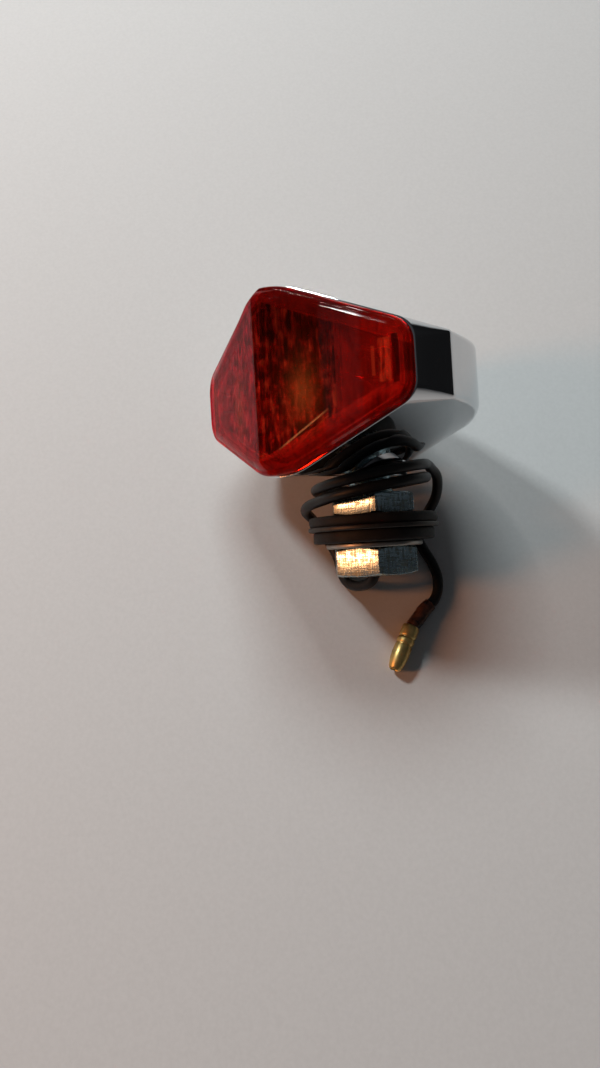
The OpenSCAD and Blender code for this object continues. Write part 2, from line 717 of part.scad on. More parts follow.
// Crimped brass bullet with two grooves and an open rounded tip
module bullet_connector() {
    r = bullet_d / 2;
    tip = bullet_l - 2.6;
    root = on_table(sleeve_route[3]);
    groove = 0.25;
    color("goldenrod")
    translate(root) rotate([0, 0, atan2(bullet_way[1], bullet_way[0])]) rotate([0, 90, 0])
        rotate_extrude() difference() {
            polygon([[0, 0], [r - 0.2, 0], [r, 0.4], [r, 2.6], [r - groove, 2.8], [r - groove, 3.1], [r, 3.3],
                     [r, 4.2], [r - groove, 4.4], [r - groove, 4.7], [r, 4.9], [r, tip],
                     [r - 0.5, bullet_l - 0.5], [r - 0.9, bullet_l], [0, bullet_l]]);
            translate([0, tip]) square([r - 1.15, 3]);
        }
}

module lamp_piece(name) {
    lie_down() children();
}
lamp_piece("housing") housing();
lamp_piece("lens") lens();
lamp_piece("lens_gasket") lens_gasket();
lamp_piece("lens_screws") lens_screws();
lamp_piece("reflector") reflector();
lamp_piece("bulb_holder") bulb_holder();
lamp_piece("holder_rivets") holder_rivets();
lamp_piece("bulb_glass") bulb_glass();
lamp_piece("bulb_cap") bulb_cap();
lamp_piece("bulb_filament") bulb_filament();
lamp_piece("contact_plunger") contact_plunger();
lamp_piece("contact_spring") contact_spring();
lamp_piece("insulator_disc") insulator_disc();
lamp_piece("feed_terminal") feed_terminal();
lamp_piece("stud") stud();
lamp_piece("stud_spring_washer") stud_spring_washer();
lamp_piece("jam_nut") jam_nut();
lamp_piece("rubber_washer_upper") rubber_washer_upper();
lamp_piece("steel_washer") steel_washer();
lamp_piece("rubber_washer_lower") rubber_washer_lower();
lamp_piece("plain_washer") plain_washer();
lamp_piece("clamp_nut") clamp_nut();
lamp_piece("lead_grommet") lead_grommet();
lamp_piece("inner_lead") inner_lead();
lead_exit();
lead_winding();
lead_tail();
lead_sleeve();
bullet_connector();
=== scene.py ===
# %% [markdown]
# # A chromed marker light with a ridged red lens
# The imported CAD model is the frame: it says where every piece is and how it moves. This notebook
# only dresses it. The camera and the lead come first, then the chromed body, the lens, the hardware
# on the stud, the lead's end and the lens screws. The finishes follow, and then each piece takes the
# place of its CAD node. What lies behind the lens keeps the CAD's shapes. The table and the light
# come last.

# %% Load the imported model
import json
import math

import bmesh
import bpy
from mathutils import Matrix, Vector

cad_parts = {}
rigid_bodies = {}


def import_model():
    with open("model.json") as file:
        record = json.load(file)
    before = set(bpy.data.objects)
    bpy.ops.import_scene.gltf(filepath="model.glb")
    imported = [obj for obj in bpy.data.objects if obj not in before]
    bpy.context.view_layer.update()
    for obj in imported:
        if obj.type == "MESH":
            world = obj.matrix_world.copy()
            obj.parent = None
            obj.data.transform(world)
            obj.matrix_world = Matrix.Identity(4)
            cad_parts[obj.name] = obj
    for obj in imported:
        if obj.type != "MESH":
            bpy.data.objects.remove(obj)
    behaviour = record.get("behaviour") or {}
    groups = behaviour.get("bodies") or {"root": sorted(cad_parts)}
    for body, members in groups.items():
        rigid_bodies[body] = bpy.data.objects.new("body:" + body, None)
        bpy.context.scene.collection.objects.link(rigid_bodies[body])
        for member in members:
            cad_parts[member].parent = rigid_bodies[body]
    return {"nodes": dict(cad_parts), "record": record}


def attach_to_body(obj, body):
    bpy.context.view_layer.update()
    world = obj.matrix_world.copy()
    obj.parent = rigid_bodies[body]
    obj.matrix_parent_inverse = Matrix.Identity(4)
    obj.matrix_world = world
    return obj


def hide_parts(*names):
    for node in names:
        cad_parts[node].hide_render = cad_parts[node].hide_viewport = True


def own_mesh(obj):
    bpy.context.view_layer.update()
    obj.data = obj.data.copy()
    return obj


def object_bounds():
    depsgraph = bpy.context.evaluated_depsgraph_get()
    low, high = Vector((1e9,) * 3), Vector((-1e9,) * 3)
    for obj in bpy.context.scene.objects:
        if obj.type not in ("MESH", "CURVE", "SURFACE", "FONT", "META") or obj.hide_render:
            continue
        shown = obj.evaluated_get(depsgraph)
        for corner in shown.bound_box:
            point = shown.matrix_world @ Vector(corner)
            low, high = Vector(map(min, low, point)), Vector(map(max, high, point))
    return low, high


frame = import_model()

cad_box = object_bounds()

# %% [markdown]
# ## From the bench to the table
# The lamp is easiest to describe standing on a bench: the stud's axis is Z, the lens faces -Y and the
# underside of the upper rubber washer is Z = 0, in millimetres. It lies on its side in the picture, so
# one matrix turns bench sizes into places on the table. The record gives the stud's direction, and
# with it how far the lamp leans.

# %% Turn bench sizes into places on the table
MM = 0.001
roll = math.radians(45.6)
stud_way = Vector(frame["record"]["mounts"][0]["axis"])
lean = math.atan2(-stud_way.z, -stud_way.y)
rolled = Matrix.Rotation(-math.pi / 2, 4, "X") @ Matrix.Rotation(-roll, 4, "Z")
leaned = Matrix.Rotation(lean, 4, "X")
to_table = leaned @ rolled
from_bench = to_table @ Matrix.Scale(MM, 4)


def bench(point):
    """A bench point in millimetres as a place in metres."""
    return to_table @ (Vector(point) * MM)


def upright(point):
    """A point in stud space, x across, y up along the stud, z off the table, as a place in metres."""
    return leaned @ (Vector(point) * MM)


print("the lamp leans by", round(math.degrees(lean), 2), "degrees")

# %% [markdown]
# ## The camera
# The picture was taken with a wide phone lens held over the table. Its place was worked out from the
# outline of the rim, the stud's axis and the size of the nuts, in the lamp's own bench space. A camera
# in Blender looks along its -Z with +Y up, so the viewing axes become the columns of its matrix.

# %% Place the camera


def in_scene(name, data):
    """A new object in the scene, at the origin."""
    made = bpy.data.objects.new(name, data)
    bpy.context.scene.collection.objects.link(made)
    return made


view_right = Vector((0.6978, 0.7139, -0.0579))
view_down = Vector((-0.0545, -0.0277, -0.9981))
view_ahead = Vector((-0.7142, 0.6997, 0.0196))
camera_place = bench((108.8, -129.0, -4.3))
camera_data = bpy.data.cameras.new("camera")
camera_data.sensor_width = 36
camera_data.lens = 26.0
camera_data.clip_start = 0.01
camera_data.clip_end = 20
camera = in_scene("camera", camera_data)
turn = to_table.to_3x3()
columns = [turn @ view_right, turn @ -view_down, turn @ -view_ahead]
camera.matrix_world = Matrix.Translation(camera_place) @ Matrix(columns).transposed().to_4x4()
bpy.context.scene.camera = camera
print("camera at", [round(v * 1000) for v in camera_place], "mm")

# %% [markdown]
# ## Meshes from rings
# Most pieces of a lamp are turned, drawn or moulded, so their skin can be told as rings of points with
# faces between them. One helper makes a closed mesh from such rings, and marks the edges that stay
# crisp by their angle, so that chrome reflects cleanly across the rest.

# %% A mesh from points, and a skin from rings


def piece_from(name, points, faces, crisp=30.0, recalc=False):
    """A mesh object at the origin, with its place in its points."""
    mesh = bpy.data.meshes.new(name)
    mesh.from_pydata([tuple(p) for p in points], [], faces)
    if recalc:
        shape = bmesh.new()
        shape.from_mesh(mesh)
        bmesh.ops.remove_doubles(shape, verts=shape.verts, dist=1e-7)
        bmesh.ops.recalc_face_normals(shape, faces=shape.faces)
        shape.to_mesh(mesh)
        shape.free()
    mesh.shade_smooth()
    mesh.set_sharp_from_angle(angle=math.radians(crisp))
    return in_scene(name, mesh)


def skin(name, rings, crisp=30.0, loop=False):
    """A mesh whose skin runs over rings of equal length, closed at both ends or onto itself."""
    count = len(rings[0])
    points = [p for ring in rings for p in ring]
    faces = []
    spans = len(rings) if loop else len(rings) - 1
    for i in range(spans):
        a = i * count
        b = (i + 1) % len(rings) * count
        for k in range(count):
            m = (k + 1) % count
            faces.append((a + k, b + k, b + m, a + m))
    if not loop:
        faces.append(tuple(range(count)))
        faces.append(tuple(reversed(range(len(points) - count, len(points)))))
    return piece_from(name, points, faces, crisp, recalc=True)


def circle(radius, sides):
    """Flat points round a circle."""
    angles = [2 * math.pi * k / sides for k in range(sides)]
    return [(radius * math.cos(angle), radius * math.sin(angle)) for angle in angles]


def spun(name, outline, place, sides=96, crisp=30.0):
    """A turned piece: an outline of (radius, height) swept round the axis of place()."""
    rings = [[place((x, y, h)) for x, y in circle(r, sides)] for r, h in outline]
    return skin(name, rings, crisp, loop=True)


print("helpers ready")

# %% [markdown]
# ## The lead
# A thin black lead leaves the stud's end, folds back past the nut and the washers, runs well over one
# loose, tilted turn round the stud and comes down to the table, where it ends in a sleeved brass bullet.
# It is one soft wire, so it is one curve through the same points as the CAD route.

# %% Work out the lead's route
table_height = -13.5548
lead_d = 2.3
stud_end = -7.0
exit_height = stud_end - 1.2
exit_route = [
    (0, -9.4, 0), (-0.3, -10.9, -0.3), (-1, -12.2, -1.2), (-2.2, -13, -2.8), (-3.9, -13.3, -5),
    (-5.5, -12.8, -7.2), (-6.6, -11.3, -8.8), (-7.2, -8.8, -9.6), (-7.9, -6, -10.6),
    (-9.3, -3.2, -11.6), (-11, -0.4, -11.4), (-12.8, 2.2, -9.2), (-14.4, 3.9, -5.2), (-13.9, 4.9, -0.6),
]
drop_route = [(13.3, 11.9, -0.8), (15.3, 9.9, -4.2), (15.4, 6, -7.6), (13.6, 2.2, -10.7), (11.4, -1, -12.3)]
tail_route = [(11.3, 0.6, 1.4), (12.5, -2.4, 1.25), (14, -5.6, 1.2), (14.8, -9, 1.2), (14.5, -12, 1.2),
              (13.5, -14.2, 1.3)]
sleeve_route = [(12.4, -15.3, 1.6), (10.9, -16.6, 1.7), (8.9, -19, 1.9), (7.6, -20.2, 1.97)]
winding_from = 150
winding_turns = 1.36
winding_r = 12
winding_pitch = 2.75
winding_z = 7.1
winding_tilt = 1.5


def winding_point(angle):
    """A point of the winding, in stud space, after so many degrees."""
    around = math.radians(winding_from - angle)
    height = winding_z + winding_pitch * angle / 360 + winding_tilt * math.cos(around)
    return Vector((winding_r * math.cos(around), height, winding_r * math.sin(around)))


def winding_way(angle):
    """The winding's direction there."""
    return (winding_point(angle + 1) - winding_point(angle - 1)).normalized()


def smooth(rows, steps):
    """A smooth curve through rows of numbers, with so many steps between each two."""
    last = len(rows) - 1
    out = []
    for i in range(last):
        near = (rows[max(i - 1, 0)], rows[i], rows[i + 1], rows[min(i + 2, last)])
        for k in range(steps):
            t = k / steps
            out.append([0.5 * (2 * b + (c - a) * t + (2 * a - 5 * b + 4 * c - d) * t * t
                               + (3 * b - a - 3 * c + d) * t * t * t) for a, b, c, d in zip(*near)])
    out.append(list(rows[-1]))
    return out


def on_table(point):
    """A point given by its height over the table, as a place in metres."""
    return Vector((point[0], point[1], point[2] + table_height)) * MM


turn_end = 360 * winding_turns
run_in = winding_point(0) - lead_d * winding_way(0)
run_out = winding_point(turn_end) + lead_d * winding_way(turn_end)
winding_steps = 110
loops = [winding_point(turn_end * i / winding_steps) for i in range(winding_steps + 1)]
first = smooth([(0, exit_height, 0)] + exit_route + [tuple(run_in)], 6)
before = [upright(p) for p in first + loops]
drop = [upright(p) for p in [run_out] + drop_route]
after = smooth(drop + [on_table(p) for p in tail_route + sleeve_route], 6)
lead_points = before + [Vector(p) for p in after]
print("the lead has", len(lead_points), "points")

# %% Make the lead a curve


def tube_curve(name, points, diameter):
    """A round tube as a curve of one open spline."""
    data = bpy.data.curves.new(name, "CURVE")
    data.dimensions = "3D"
    data.bevel_depth = diameter / 2
    data.bevel_resolution = 6
    data.use_fill_caps = True
    spline = data.splines.new("POLY")
    spline.points.add(len(points) - 1)
    for slot, p in zip(spline.points, points):
        slot.co = (p.x, p.y, p.z, 1)
    return in_scene(name, data)


lead = tube_curve("lead_wire", lead_points, lead_d * MM)

# %% [markdown]
# ## The chromed body
# The body is a die casting with a pointed hexagon for a rim. Its flat sides run back from the rim to a
# crease, and behind the crease it draws in to a small flat back. Chrome shows every kink in a surface,
# so the skin is drawn through the CAD's six sections with many more rows and finer corners. Cutting
# the cavity, the screw pillars and the screw holes with Boolean is how the casting tool makes them too.

# %% Hexagon sections with rounded corners
lamp_z = 28.2
rim_y = -27.0
rim_sweep = 8.2
half_w = 28.0
half_h = 20.0
half_end = 6.7
body_wall = 1.6
crown_r = 14.0
crown_steps = 14
rim_end_r = 5.0
end_steps = 8
back_y = 16.2
stations = [
    (rim_y, rim_sweep, half_w, half_h, half_end, rim_end_r),
    (rim_y + 10, rim_sweep, half_w + 0.7, half_h - 0.7, half_end - 0.4, 1.1),
    (rim_y + 28, 2.5, half_w - 2, half_h - 1.5, half_end - 0.2, 2.2),
    (back_y - 6.6, 0.8, half_w - 6.8, half_h - 4.6, half_end + 1, 4.0),
    (back_y - 2, 0, half_w - 11.5, half_h - 8, half_end, 4.5),
    (back_y, 0, half_w - 16, half_h - 11.4, half_end - 1.6, 4.5),
]


def corner(before, point, after, radius, steps):
    """One rounded corner of a flat outline that runs clockwise."""
    u = (before - point).normalized()
    v = (after - point).normalized()
    half = math.acos(u.dot(v)) / 2
    centre = point + (u + v).normalized() * radius / math.sin(half)
    start = point + u * radius / math.tan(half) - centre
    angle = math.atan2(start.y, start.x)
    span = math.pi - 2 * half
    out = []
    for i in range(steps + 1):
        a = angle - span * i / steps
        out.append(centre + radius * Vector((math.cos(a), math.sin(a))))
    return out


def hexagon(w, h, e, crown, end):
    """The rim's outline: a point up and down, and short upright ends."""
    tips = [Vector(p) for p in ((0, h), (w, e), (w, -e), (0, -h), (-w, -e), (-w, e))]
    out = []
    for i, tip in enumerate(tips):
        pointed = i % 3 == 0
        out += corner(tips[i - 1], tip, tips[(i + 1) % 6], crown if pointed else end,
                      crown_steps if pointed else end_steps)
    return out


def section(w, h, e, y, sweep, crown, end):
    """The hexagon at depth y, falling back towards its ends, as places in metres."""
    outline = hexagon(w, h, e, crown, end)
    return [bench((q.x, y + sweep * abs(q.x) / half_w, q.y + lamp_z)) for q in outline]


def swept_solid(name, rows, crisp=20):
    """A skin over swept sections, its ends in two halves that meet in the middle line."""
    count = len(rows[0])
    points = [p for row in rows for p in row]
    last = (len(rows) - 1) * count
    top = crown_steps // 2
    bottom = count // 2 + top
    faces = []
    for i in range(len(rows) - 1):
        for k in range(count):
            m = (k + 1) % count
            faces.append((i * count + k, (i + 1) * count + k, (i + 1) * count + m, i * count + m))
    right = list(range(top, bottom + 1))
    left = [k % count for k in range(bottom, count + top + 1)]
    for half in (right, left):
        faces.append(tuple(half))
        faces.append(tuple(last + k for k in reversed(half)))
    return piece_from(name, points, faces, crisp, recalc=True)


crease_to_back = stations[1:]
print("sections from crease to back:", len(smooth(crease_to_back, 8)))

# %% Cut one mesh with another


def plain_copy(made, name):
    """The finished shape of an object as a plain mesh, its modifiers applied."""
    graph = bpy.context.evaluated_depsgraph_get()
    mesh = bpy.data.meshes.new_from_object(made.evaluated_get(graph))
    mesh.name = name
    made.modifiers.clear()
    made.data = mesh
    return made


def carve(target, tools):
    """Cuts each tool out of the target, and removes the tools."""
    for tool in tools:
        step = target.modifiers.new("carve", "BOOLEAN")
        step.operation = "DIFFERENCE"
        step.solver = "EXACT"
        step.object = tool
    plain_copy(target, target.name)
    for tool in tools:
        bpy.data.objects.remove(tool)


def rod(radius, a, b, sides=48):
    """A plain round rod between two bench points."""
    start = Vector(a)
    along = Vector(b) - start
    turn_to = along.to_track_quat("Z", "Y")
    rings = [[bench(start + turn_to @ Vector((x, y, h))) for x, y in circle(radius, sides)]
             for h in (0, along.length)]
    return skin("rod", rings)


def soften(made, width, angle=25.0, segments=3):
    """Rounds the crisp edges a little, as plating and polishing leave them."""
    step = made.modifiers.new("edges", "BEVEL")
    step.width = width * MM
    step.segments = segments
    step.limit_method = "ANGLE"
    step.angle_limit = math.radians(angle)
    step.harden_normals = True
    plain_copy(made, made.name)


def even_normals(made, crisp):
    """Lets large flat faces keep their own direction beside small rounded ones."""
    made.data.set_sharp_from_angle(angle=math.radians(crisp))
    step = made.modifiers.new("normals", "WEIGHTED_NORMAL")
    step.weight = 80
    step.keep_sharp = True
    plain_copy(made, made.name)


print("cutting tools ready")

# %% The body's shell
screw_x = 19.5
screw_r = 1.55
counterbore_r = 2.9
pillar_r = 3.7
head_depth = 14
head_seat = back_y - head_depth
pillar_recess = 3.2
pillar_front = rim_y + rim_sweep * screw_x / half_w + pillar_recess
rim_lip = ((0.2, 0), (0.06, 0.05), (0, 0.2))
solid_rows = 4


def inset(size, wall, dy=0.0):
    """Sizes of the same section with a wall taken off."""
    y, sweep, w, h, e, end = size
    return (w - wall, h - wall * 1.1, e - wall * 0.6, y + dy, sweep, crown_r - wall, max(end - wall, 0.4))


def screw_rod(side, radius, front, back):
    """A rod along the lamp's depth at its left (-1) or right (1) screw."""
    return rod(radius, (side * screw_x, front, lamp_z), (side * screw_x, back, lamp_z))


rim = stations[0]
rows = [inset(rim, drawn, dy) for drawn, dy in rim_lip]
for t in (0.5, 0.96):
    rows.append(inset([p + (q - p) * t for p, q in zip(rim, stations[1])], 0))
rows += [inset(s, 0) for s in smooth(crease_to_back, 8)]
body_shell = swept_solid("body_shell", [section(*row) for row in rows], 30)
inner = [inset(rim, body_wall, -1.0), inset(rim, body_wall)]
inner += [inset(s, body_wall) for s in smooth(crease_to_back, 3)[:-solid_rows]]
cavity = swept_solid("cavity", [section(*row) for row in inner])
carve(cavity, [screw_rod(side, pillar_r, pillar_front, back_y + 6) for side in (-1, 1)])
carve(body_shell, [cavity])
holes = []
for side in (-1, 1):
    holes.append(screw_rod(side, screw_r, pillar_front - 1, head_seat + 1))
    holes.append(screw_rod(side, counterbore_r, head_seat, back_y + 9))
carve(body_shell, holes)
even_normals(body_shell, 30)
print("body shell:", len(body_shell.data.polygons), "faces")

# %% The foot that the stud passes through
foot_z = 10.0
foot_r = 8
foot_bore = 5.05
pad_z = 15.1
foot_outline = [(foot_bore, foot_z), (foot_r - 0.4, foot_z), (foot_r - 0.12, foot_z + 0.12),
                (foot_r, foot_z + 0.4), (foot_r, pad_z), (foot_bore, pad_z)]
stud_foot = spun("stud_foot", foot_outline, bench)
print("foot of the body:", pad_z - foot_z, "mm deep")

# %% [markdown]
# ## The lens
# The lens is moulded in red plastic. Two flat facets meet in an upright ridge, a bevel runs round them
# down to the chrome, and upright flutes behind each facet, notched across, spread the bulb's light. It
# needs a real wall with an outside and an inside, because clear plastic bends the light at both. The
# flutes repeat, so Geometry Nodes lays them out, and the row is used as a cutter.

# %% A small class for geometry trees


class GeometryTree:
    """A geometry tree with named sizes, made node by node."""

    def __init__(self, name):
        self.group = bpy.data.node_groups.new(name, "GeometryNodeTree")
        self.group.interface.new_socket("Geometry", in_out="OUTPUT", socket_type="NodeSocketGeometry")
        self.start = self.group.nodes.new("NodeGroupInput")
        self.values = {}

    def size(self, name, value):
        """A named input of the tree."""
        kind = "NodeSocketInt" if isinstance(value, int) else "NodeSocketFloat"
        socket = self.group.interface.new_socket(name, in_out="INPUT", socket_type=kind)
        socket.default_value = value
        self.values[socket.identifier] = value
        return self.start.outputs[name]

    def give(self, socket, value):
        """Links a node's input, or sets it when it gets a plain value."""
        if isinstance(value, bpy.types.NodeSocket):
            self.group.links.new(value, socket)
        else:
            socket.default_value = value

    def add(self, kind, settings=None, **inputs):
        """A node, with its settings first and then the values or links of its inputs."""
        node = self.group.nodes.new(kind)
        for key, value in (settings or {}).items():
            setattr(node, key, value)
        for key, value in inputs.items():
            self.give(node.inputs[key.replace("_", " ")], value)
        return node

    def times(self, first, second):
        """The product of two sizes."""
        node = self.add("ShaderNodeMath", {"operation": "MULTIPLY"})
        self.give(node.inputs[0], first)
        self.give(node.inputs[1], second)
        return node.outputs[0]

    def point(self, **parts):
        """A vector from its X, Y and Z."""
        return self.add("ShaderNodeCombineXYZ", **parts).outputs[0]

    def grow(self, name, geometry):
        """Ends the tree and gives its result as a plain mesh object."""
        real = self.add("GeometryNodeRealizeInstances", Geometry=geometry)
        ended = self.add("GeometryNodeSetMaterial", Geometry=real.outputs["Geometry"])
        out = self.group.nodes.new("NodeGroupOutput")
        self.group.links.new(ended.outputs["Geometry"], out.inputs["Geometry"])
        made = in_scene(name, bpy.data.meshes.new(name))
        step = made.modifiers.new(name, "NODES")
        step.node_group = self.group
        for identifier, value in self.values.items():
            step[identifier] = value
        return plain_copy(made, name)


print("geometry trees ready")

# %% The lens's outside
bevel_w = 2.9
bevel_end_w = 1.2
bevel_end_h = 2.6
rim_show = 0.3
ridge_out = 5.0
facet_slope = 0.39
facet_crown_r = 9
facet_end_r = 2.4
lens_edge = 1.9
lens_wall = 2.0
gasket_t = 0.6
spigot_depth = 2.4
spigot_play = 0.3
spigot_end_r = 1.8
side_lean = math.radians(27)
front_w = half_w - rim_show - bevel_end_w
front_h = half_h - rim_show - bevel_w / math.cos(side_lean)
front_e = half_end - bevel_end_h
edge_w = half_w - rim_show
edge_h = half_h - rim_show
edge_e = half_end - rim_show / 2
spigot_w = half_w - body_wall - spigot_play
spigot_h = half_h - body_wall * 1.1 - spigot_play
spigot_e = half_end - body_wall * 0.6 - spigot_play
lens_y = rim_y - gasket_t
ridge_y = rim_y - ridge_out
facet_fall = facet_slope * half_w
shoulder_w = 0.75
shoulder_h = 1.15
shoulder_rise = 1.4
shoulder_foot = lens_y - lens_edge + 0.8


def shoulder(turned):
    """A row of the lens's rounded shoulder, from the bevel at 0 to its upright edge at 90 degrees."""
    a = math.radians(turned)
    drawn = 1 - math.sin(a)
    return (edge_w - shoulder_w * drawn, edge_h - shoulder_h * drawn, edge_e - shoulder_w * drawn,
            shoulder_foot - shoulder_rise * math.cos(a), rim_sweep + 0.2 + 0.4 * math.cos(a),
            crown_r - 2 * drawn, rim_end_r - 0.4 * drawn)


facet_row = (front_w, front_h, front_e, ridge_y, facet_fall, facet_crown_r, facet_end_r)
bevel_crown = 0.16
bevel_rows = []
for t in (0.2, 0.4, 0.6, 0.8):
    out = 4 * t * (1 - t) * bevel_crown
    w, h, e, y, sweep, crown, end = [a + (b - a) * t for a, b in zip(facet_row, shoulder(0))]
    bevel_rows.append((w + 0.4 * out, h + 0.5 * out, e + 0.3 * out, y - 0.75 * out, sweep, crown, end))
shoulder_rows = [shoulder(turned) for turned in (0, 15, 30, 45, 60, 75, 90)]
spigot_crown_r = crown_r - body_wall
back_rows = [
    (edge_w, edge_h, edge_e, lens_y, rim_sweep, crown_r, rim_end_r),
    (spigot_w, spigot_h, spigot_e, lens_y + 0.01, rim_sweep, spigot_crown_r, spigot_end_r),
    (spigot_w, spigot_h, spigot_e, rim_y + spigot_depth, rim_sweep, spigot_crown_r, spigot_end_r),
]
lens_rows = [facet_row] + bevel_rows + shoulder_rows + back_rows
lens_piece = swept_solid("lens_piece", [section(*row) for row in lens_rows])
print("lens outside:", len(lens_piece.data.polygons), "faces")

# %% The flutes behind each facet, laid out by Geometry Nodes
flute_count = 9
flute_w = 1.7
flute_d = 0.7
sunk = 0.5
tooth_high = 1.5
tooth_half = 0.866
tree = GeometryTree("flute row")
flutes = tree.size("Flutes", flute_count)
width = tree.size("Width", flute_w)
slope = tree.size("Slope", facet_slope)
one_on = tree.point(X=width, Y=tree.times(width, slope))
row = tree.add("GeometryNodeMeshLine", {"mode": "OFFSET"}, Count=flutes, Offset=one_on,
               Start_Location=(0.5 * flute_w, 0.5 * flute_w * facet_slope, 0))
tooth = tree.add("GeometryNodeMeshCylinder", {"fill_type": "NGON"}, Vertices=3, Radius=1.0, Depth=2 * half_h)
shaped = tree.add("GeometryNodeTransform", Geometry=tooth.outputs["Mesh"], Rotation=(0, 0, math.pi / 2),
                  Scale=((flute_d + sunk) / tooth_high, flute_w * 0.49 / tooth_half, 1.0))
placed = tree.add("GeometryNodeInstanceOnPoints", Points=row.outputs["Mesh"],
                  Instance=shaped.outputs["Geometry"])
right_flutes = tree.grow("right_flutes", placed.outputs["Instances"])
print("flutes in one row:", flute_count)

# %% The notches across the flutes, and the same row for the left facet
notch_count = 15
notch_pitch = 2.3
notch_profile = ((0.12, 0), (1.5, 0.8), (1.5, -0.8))
notch_span = (-0.6, 18)
notch_ends = [[Vector((x, facet_slope * x + y, z)) for y, z in notch_profile] for x in notch_span]
one_notch = skin("one_notch", notch_ends)
tree = GeometryTree("notch column")
notches = tree.size("Notches", notch_count)
pitch = tree.size("Pitch", notch_pitch)
column = tree.add("GeometryNodeMeshLine", {"mode": "OFFSET"}, Count=notches, Offset=tree.point(Z=pitch),
                  Start_Location=(0, 0, -notch_pitch * (notch_count - 1) / 2))
cutter = tree.add("GeometryNodeObjectInfo", Object=one_notch)
stacked = tree.add("GeometryNodeInstanceOnPoints", Points=column.outputs["Mesh"],
                   Instance=cutter.outputs["Geometry"])
notch_column = tree.grow("notch_column", stacked.outputs["Instances"])
bpy.data.objects.remove(one_notch)
carve(right_flutes, [notch_column])
left_flutes = in_scene("left_flutes", right_flutes.data.copy())
left_flutes.data.transform(Matrix.Scale(-1, 4, (1, 0, 0)))
left_flutes.data.flip_normals()
behind = Matrix.Translation((0, ridge_y + lens_wall - 0.1, lamp_z))
for flute_row in (right_flutes, left_flutes):
    flute_row.data.transform(from_bench @ behind)
print("one notched row:", len(right_flutes.data.polygons), "faces")

# %% Hollow the lens and keep its flutes
front_wall = 1.8
hollow_crown_r = 8
hollow_end_r = 1.5
pocket_w = spigot_w - lens_wall
pocket_h = spigot_h - lens_wall
pocket_e = spigot_e - 1
pocket_back = rim_y + spigot_depth + 1
hollow_rows = [
    (front_w - front_wall, front_h - front_wall, front_e - front_wall / 2, ridge_y + lens_wall, facet_fall,
     hollow_crown_r, hollow_end_r),
    (pocket_w, pocket_h, pocket_e, lens_y, rim_sweep, hollow_crown_r, hollow_end_r),
    (pocket_w, pocket_h, pocket_e, pocket_back, rim_sweep, hollow_crown_r, hollow_end_r),
]
hollow = swept_solid("hollow", [section(*row) for row in hollow_rows])
boss_r = 2.7
boss_front = ridge_y + 6
bosses = [screw_rod(side, boss_r, boss_front, pillar_front - 0.3) for side in (-1, 1)]
carve(hollow, [right_flutes, left_flutes] + bosses)
soften(lens_piece, 0.45, angle=18, segments=4)
carve(lens_piece, [hollow])
even_normals(lens_piece, 20)
print("lens:", len(lens_piece.data.polygons), "faces")

# %% [markdown]
# ## The hardware on the stud
# The lower nut squeezes the stack against the upper one: plain washer, rubber, steel, and a last rubber
# under the upper nut. The turned pieces are outlines swept round the stud's axis. The nuts keep the
# CAD's exact shape, with their edges rounded as plating leaves them. The stud's thread follows a
# helix, so Geometry Nodes sweeps its profile along one.

# %% Washers
washer_outlines = {
    "rubber_upper": [(5.1, 0.1), (5.3, 0), (13.4, 0), (13.78, 0.2), (13.9, 0.7), (13.9, 1.5), (13.78, 2.0),
                     (13.4, 2.2), (5.3, 2.2), (5.1, 2.1)],
    "steel_ring": [(5.1, -0.9), (5.2, -1), (13.85, -1), (14.05, -0.9), (14.1, -0.75), (14.1, -0.3),
                   (14.0, -0.08), (13.8, 0), (5.2, 0), (5.1, -0.1)],
    "rubber_lower": [(5.1, -3.5), (5.3, -3.6), (12.6, -3.6), (12.95, -3.45), (13.1, -3.1), (13.1, -1.5),
                     (12.95, -1.15), (12.6, -1), (5.3, -1), (5.1, -1.1)],
    "plain_ring": [(5.1, -4.75), (5.15, -4.8), (10.1, -4.8), (10.35, -4.68), (10.45, -4.45), (10.45, -4.0),
                   (10.35, -3.72), (10.1, -3.6), (5.15, -3.6), (5.1, -3.65)],
}
washers = {name: spun(name, outline, bench, crisp=50) for name, outline in washer_outlines.items()}
print(len(washers), "washers turned")

# %% Nuts, from the exact CAD shape with rounded edges


def rounded_copy(node, name, width):
    """A copy of a CAD node with its flat faces whole again and its crisp edges rounded."""
    source = frame["nodes"][node]
    mesh = source.data.copy()
    shape = bmesh.new()
    shape.from_mesh(mesh)
    bmesh.ops.remove_doubles(shape, verts=shape.verts, dist=1e-6)
    bmesh.ops.dissolve_limit(shape, angle_limit=math.radians(1), verts=shape.verts, edges=shape.edges)
    shape.to_mesh(mesh)
    shape.free()
    mesh.shade_smooth()
    made = in_scene(name, mesh)
    soften(made, width)
    made.data.materials.clear()
    return made


nut_edge = 0.16
upper_nut = rounded_copy("jam_nut", "upper_nut", nut_edge)
lower_nut = rounded_copy("clamp_nut", "lower_nut", nut_edge)
print("nuts:", len(upper_nut.data.polygons), "and", len(lower_nut.data.polygons), "faces")

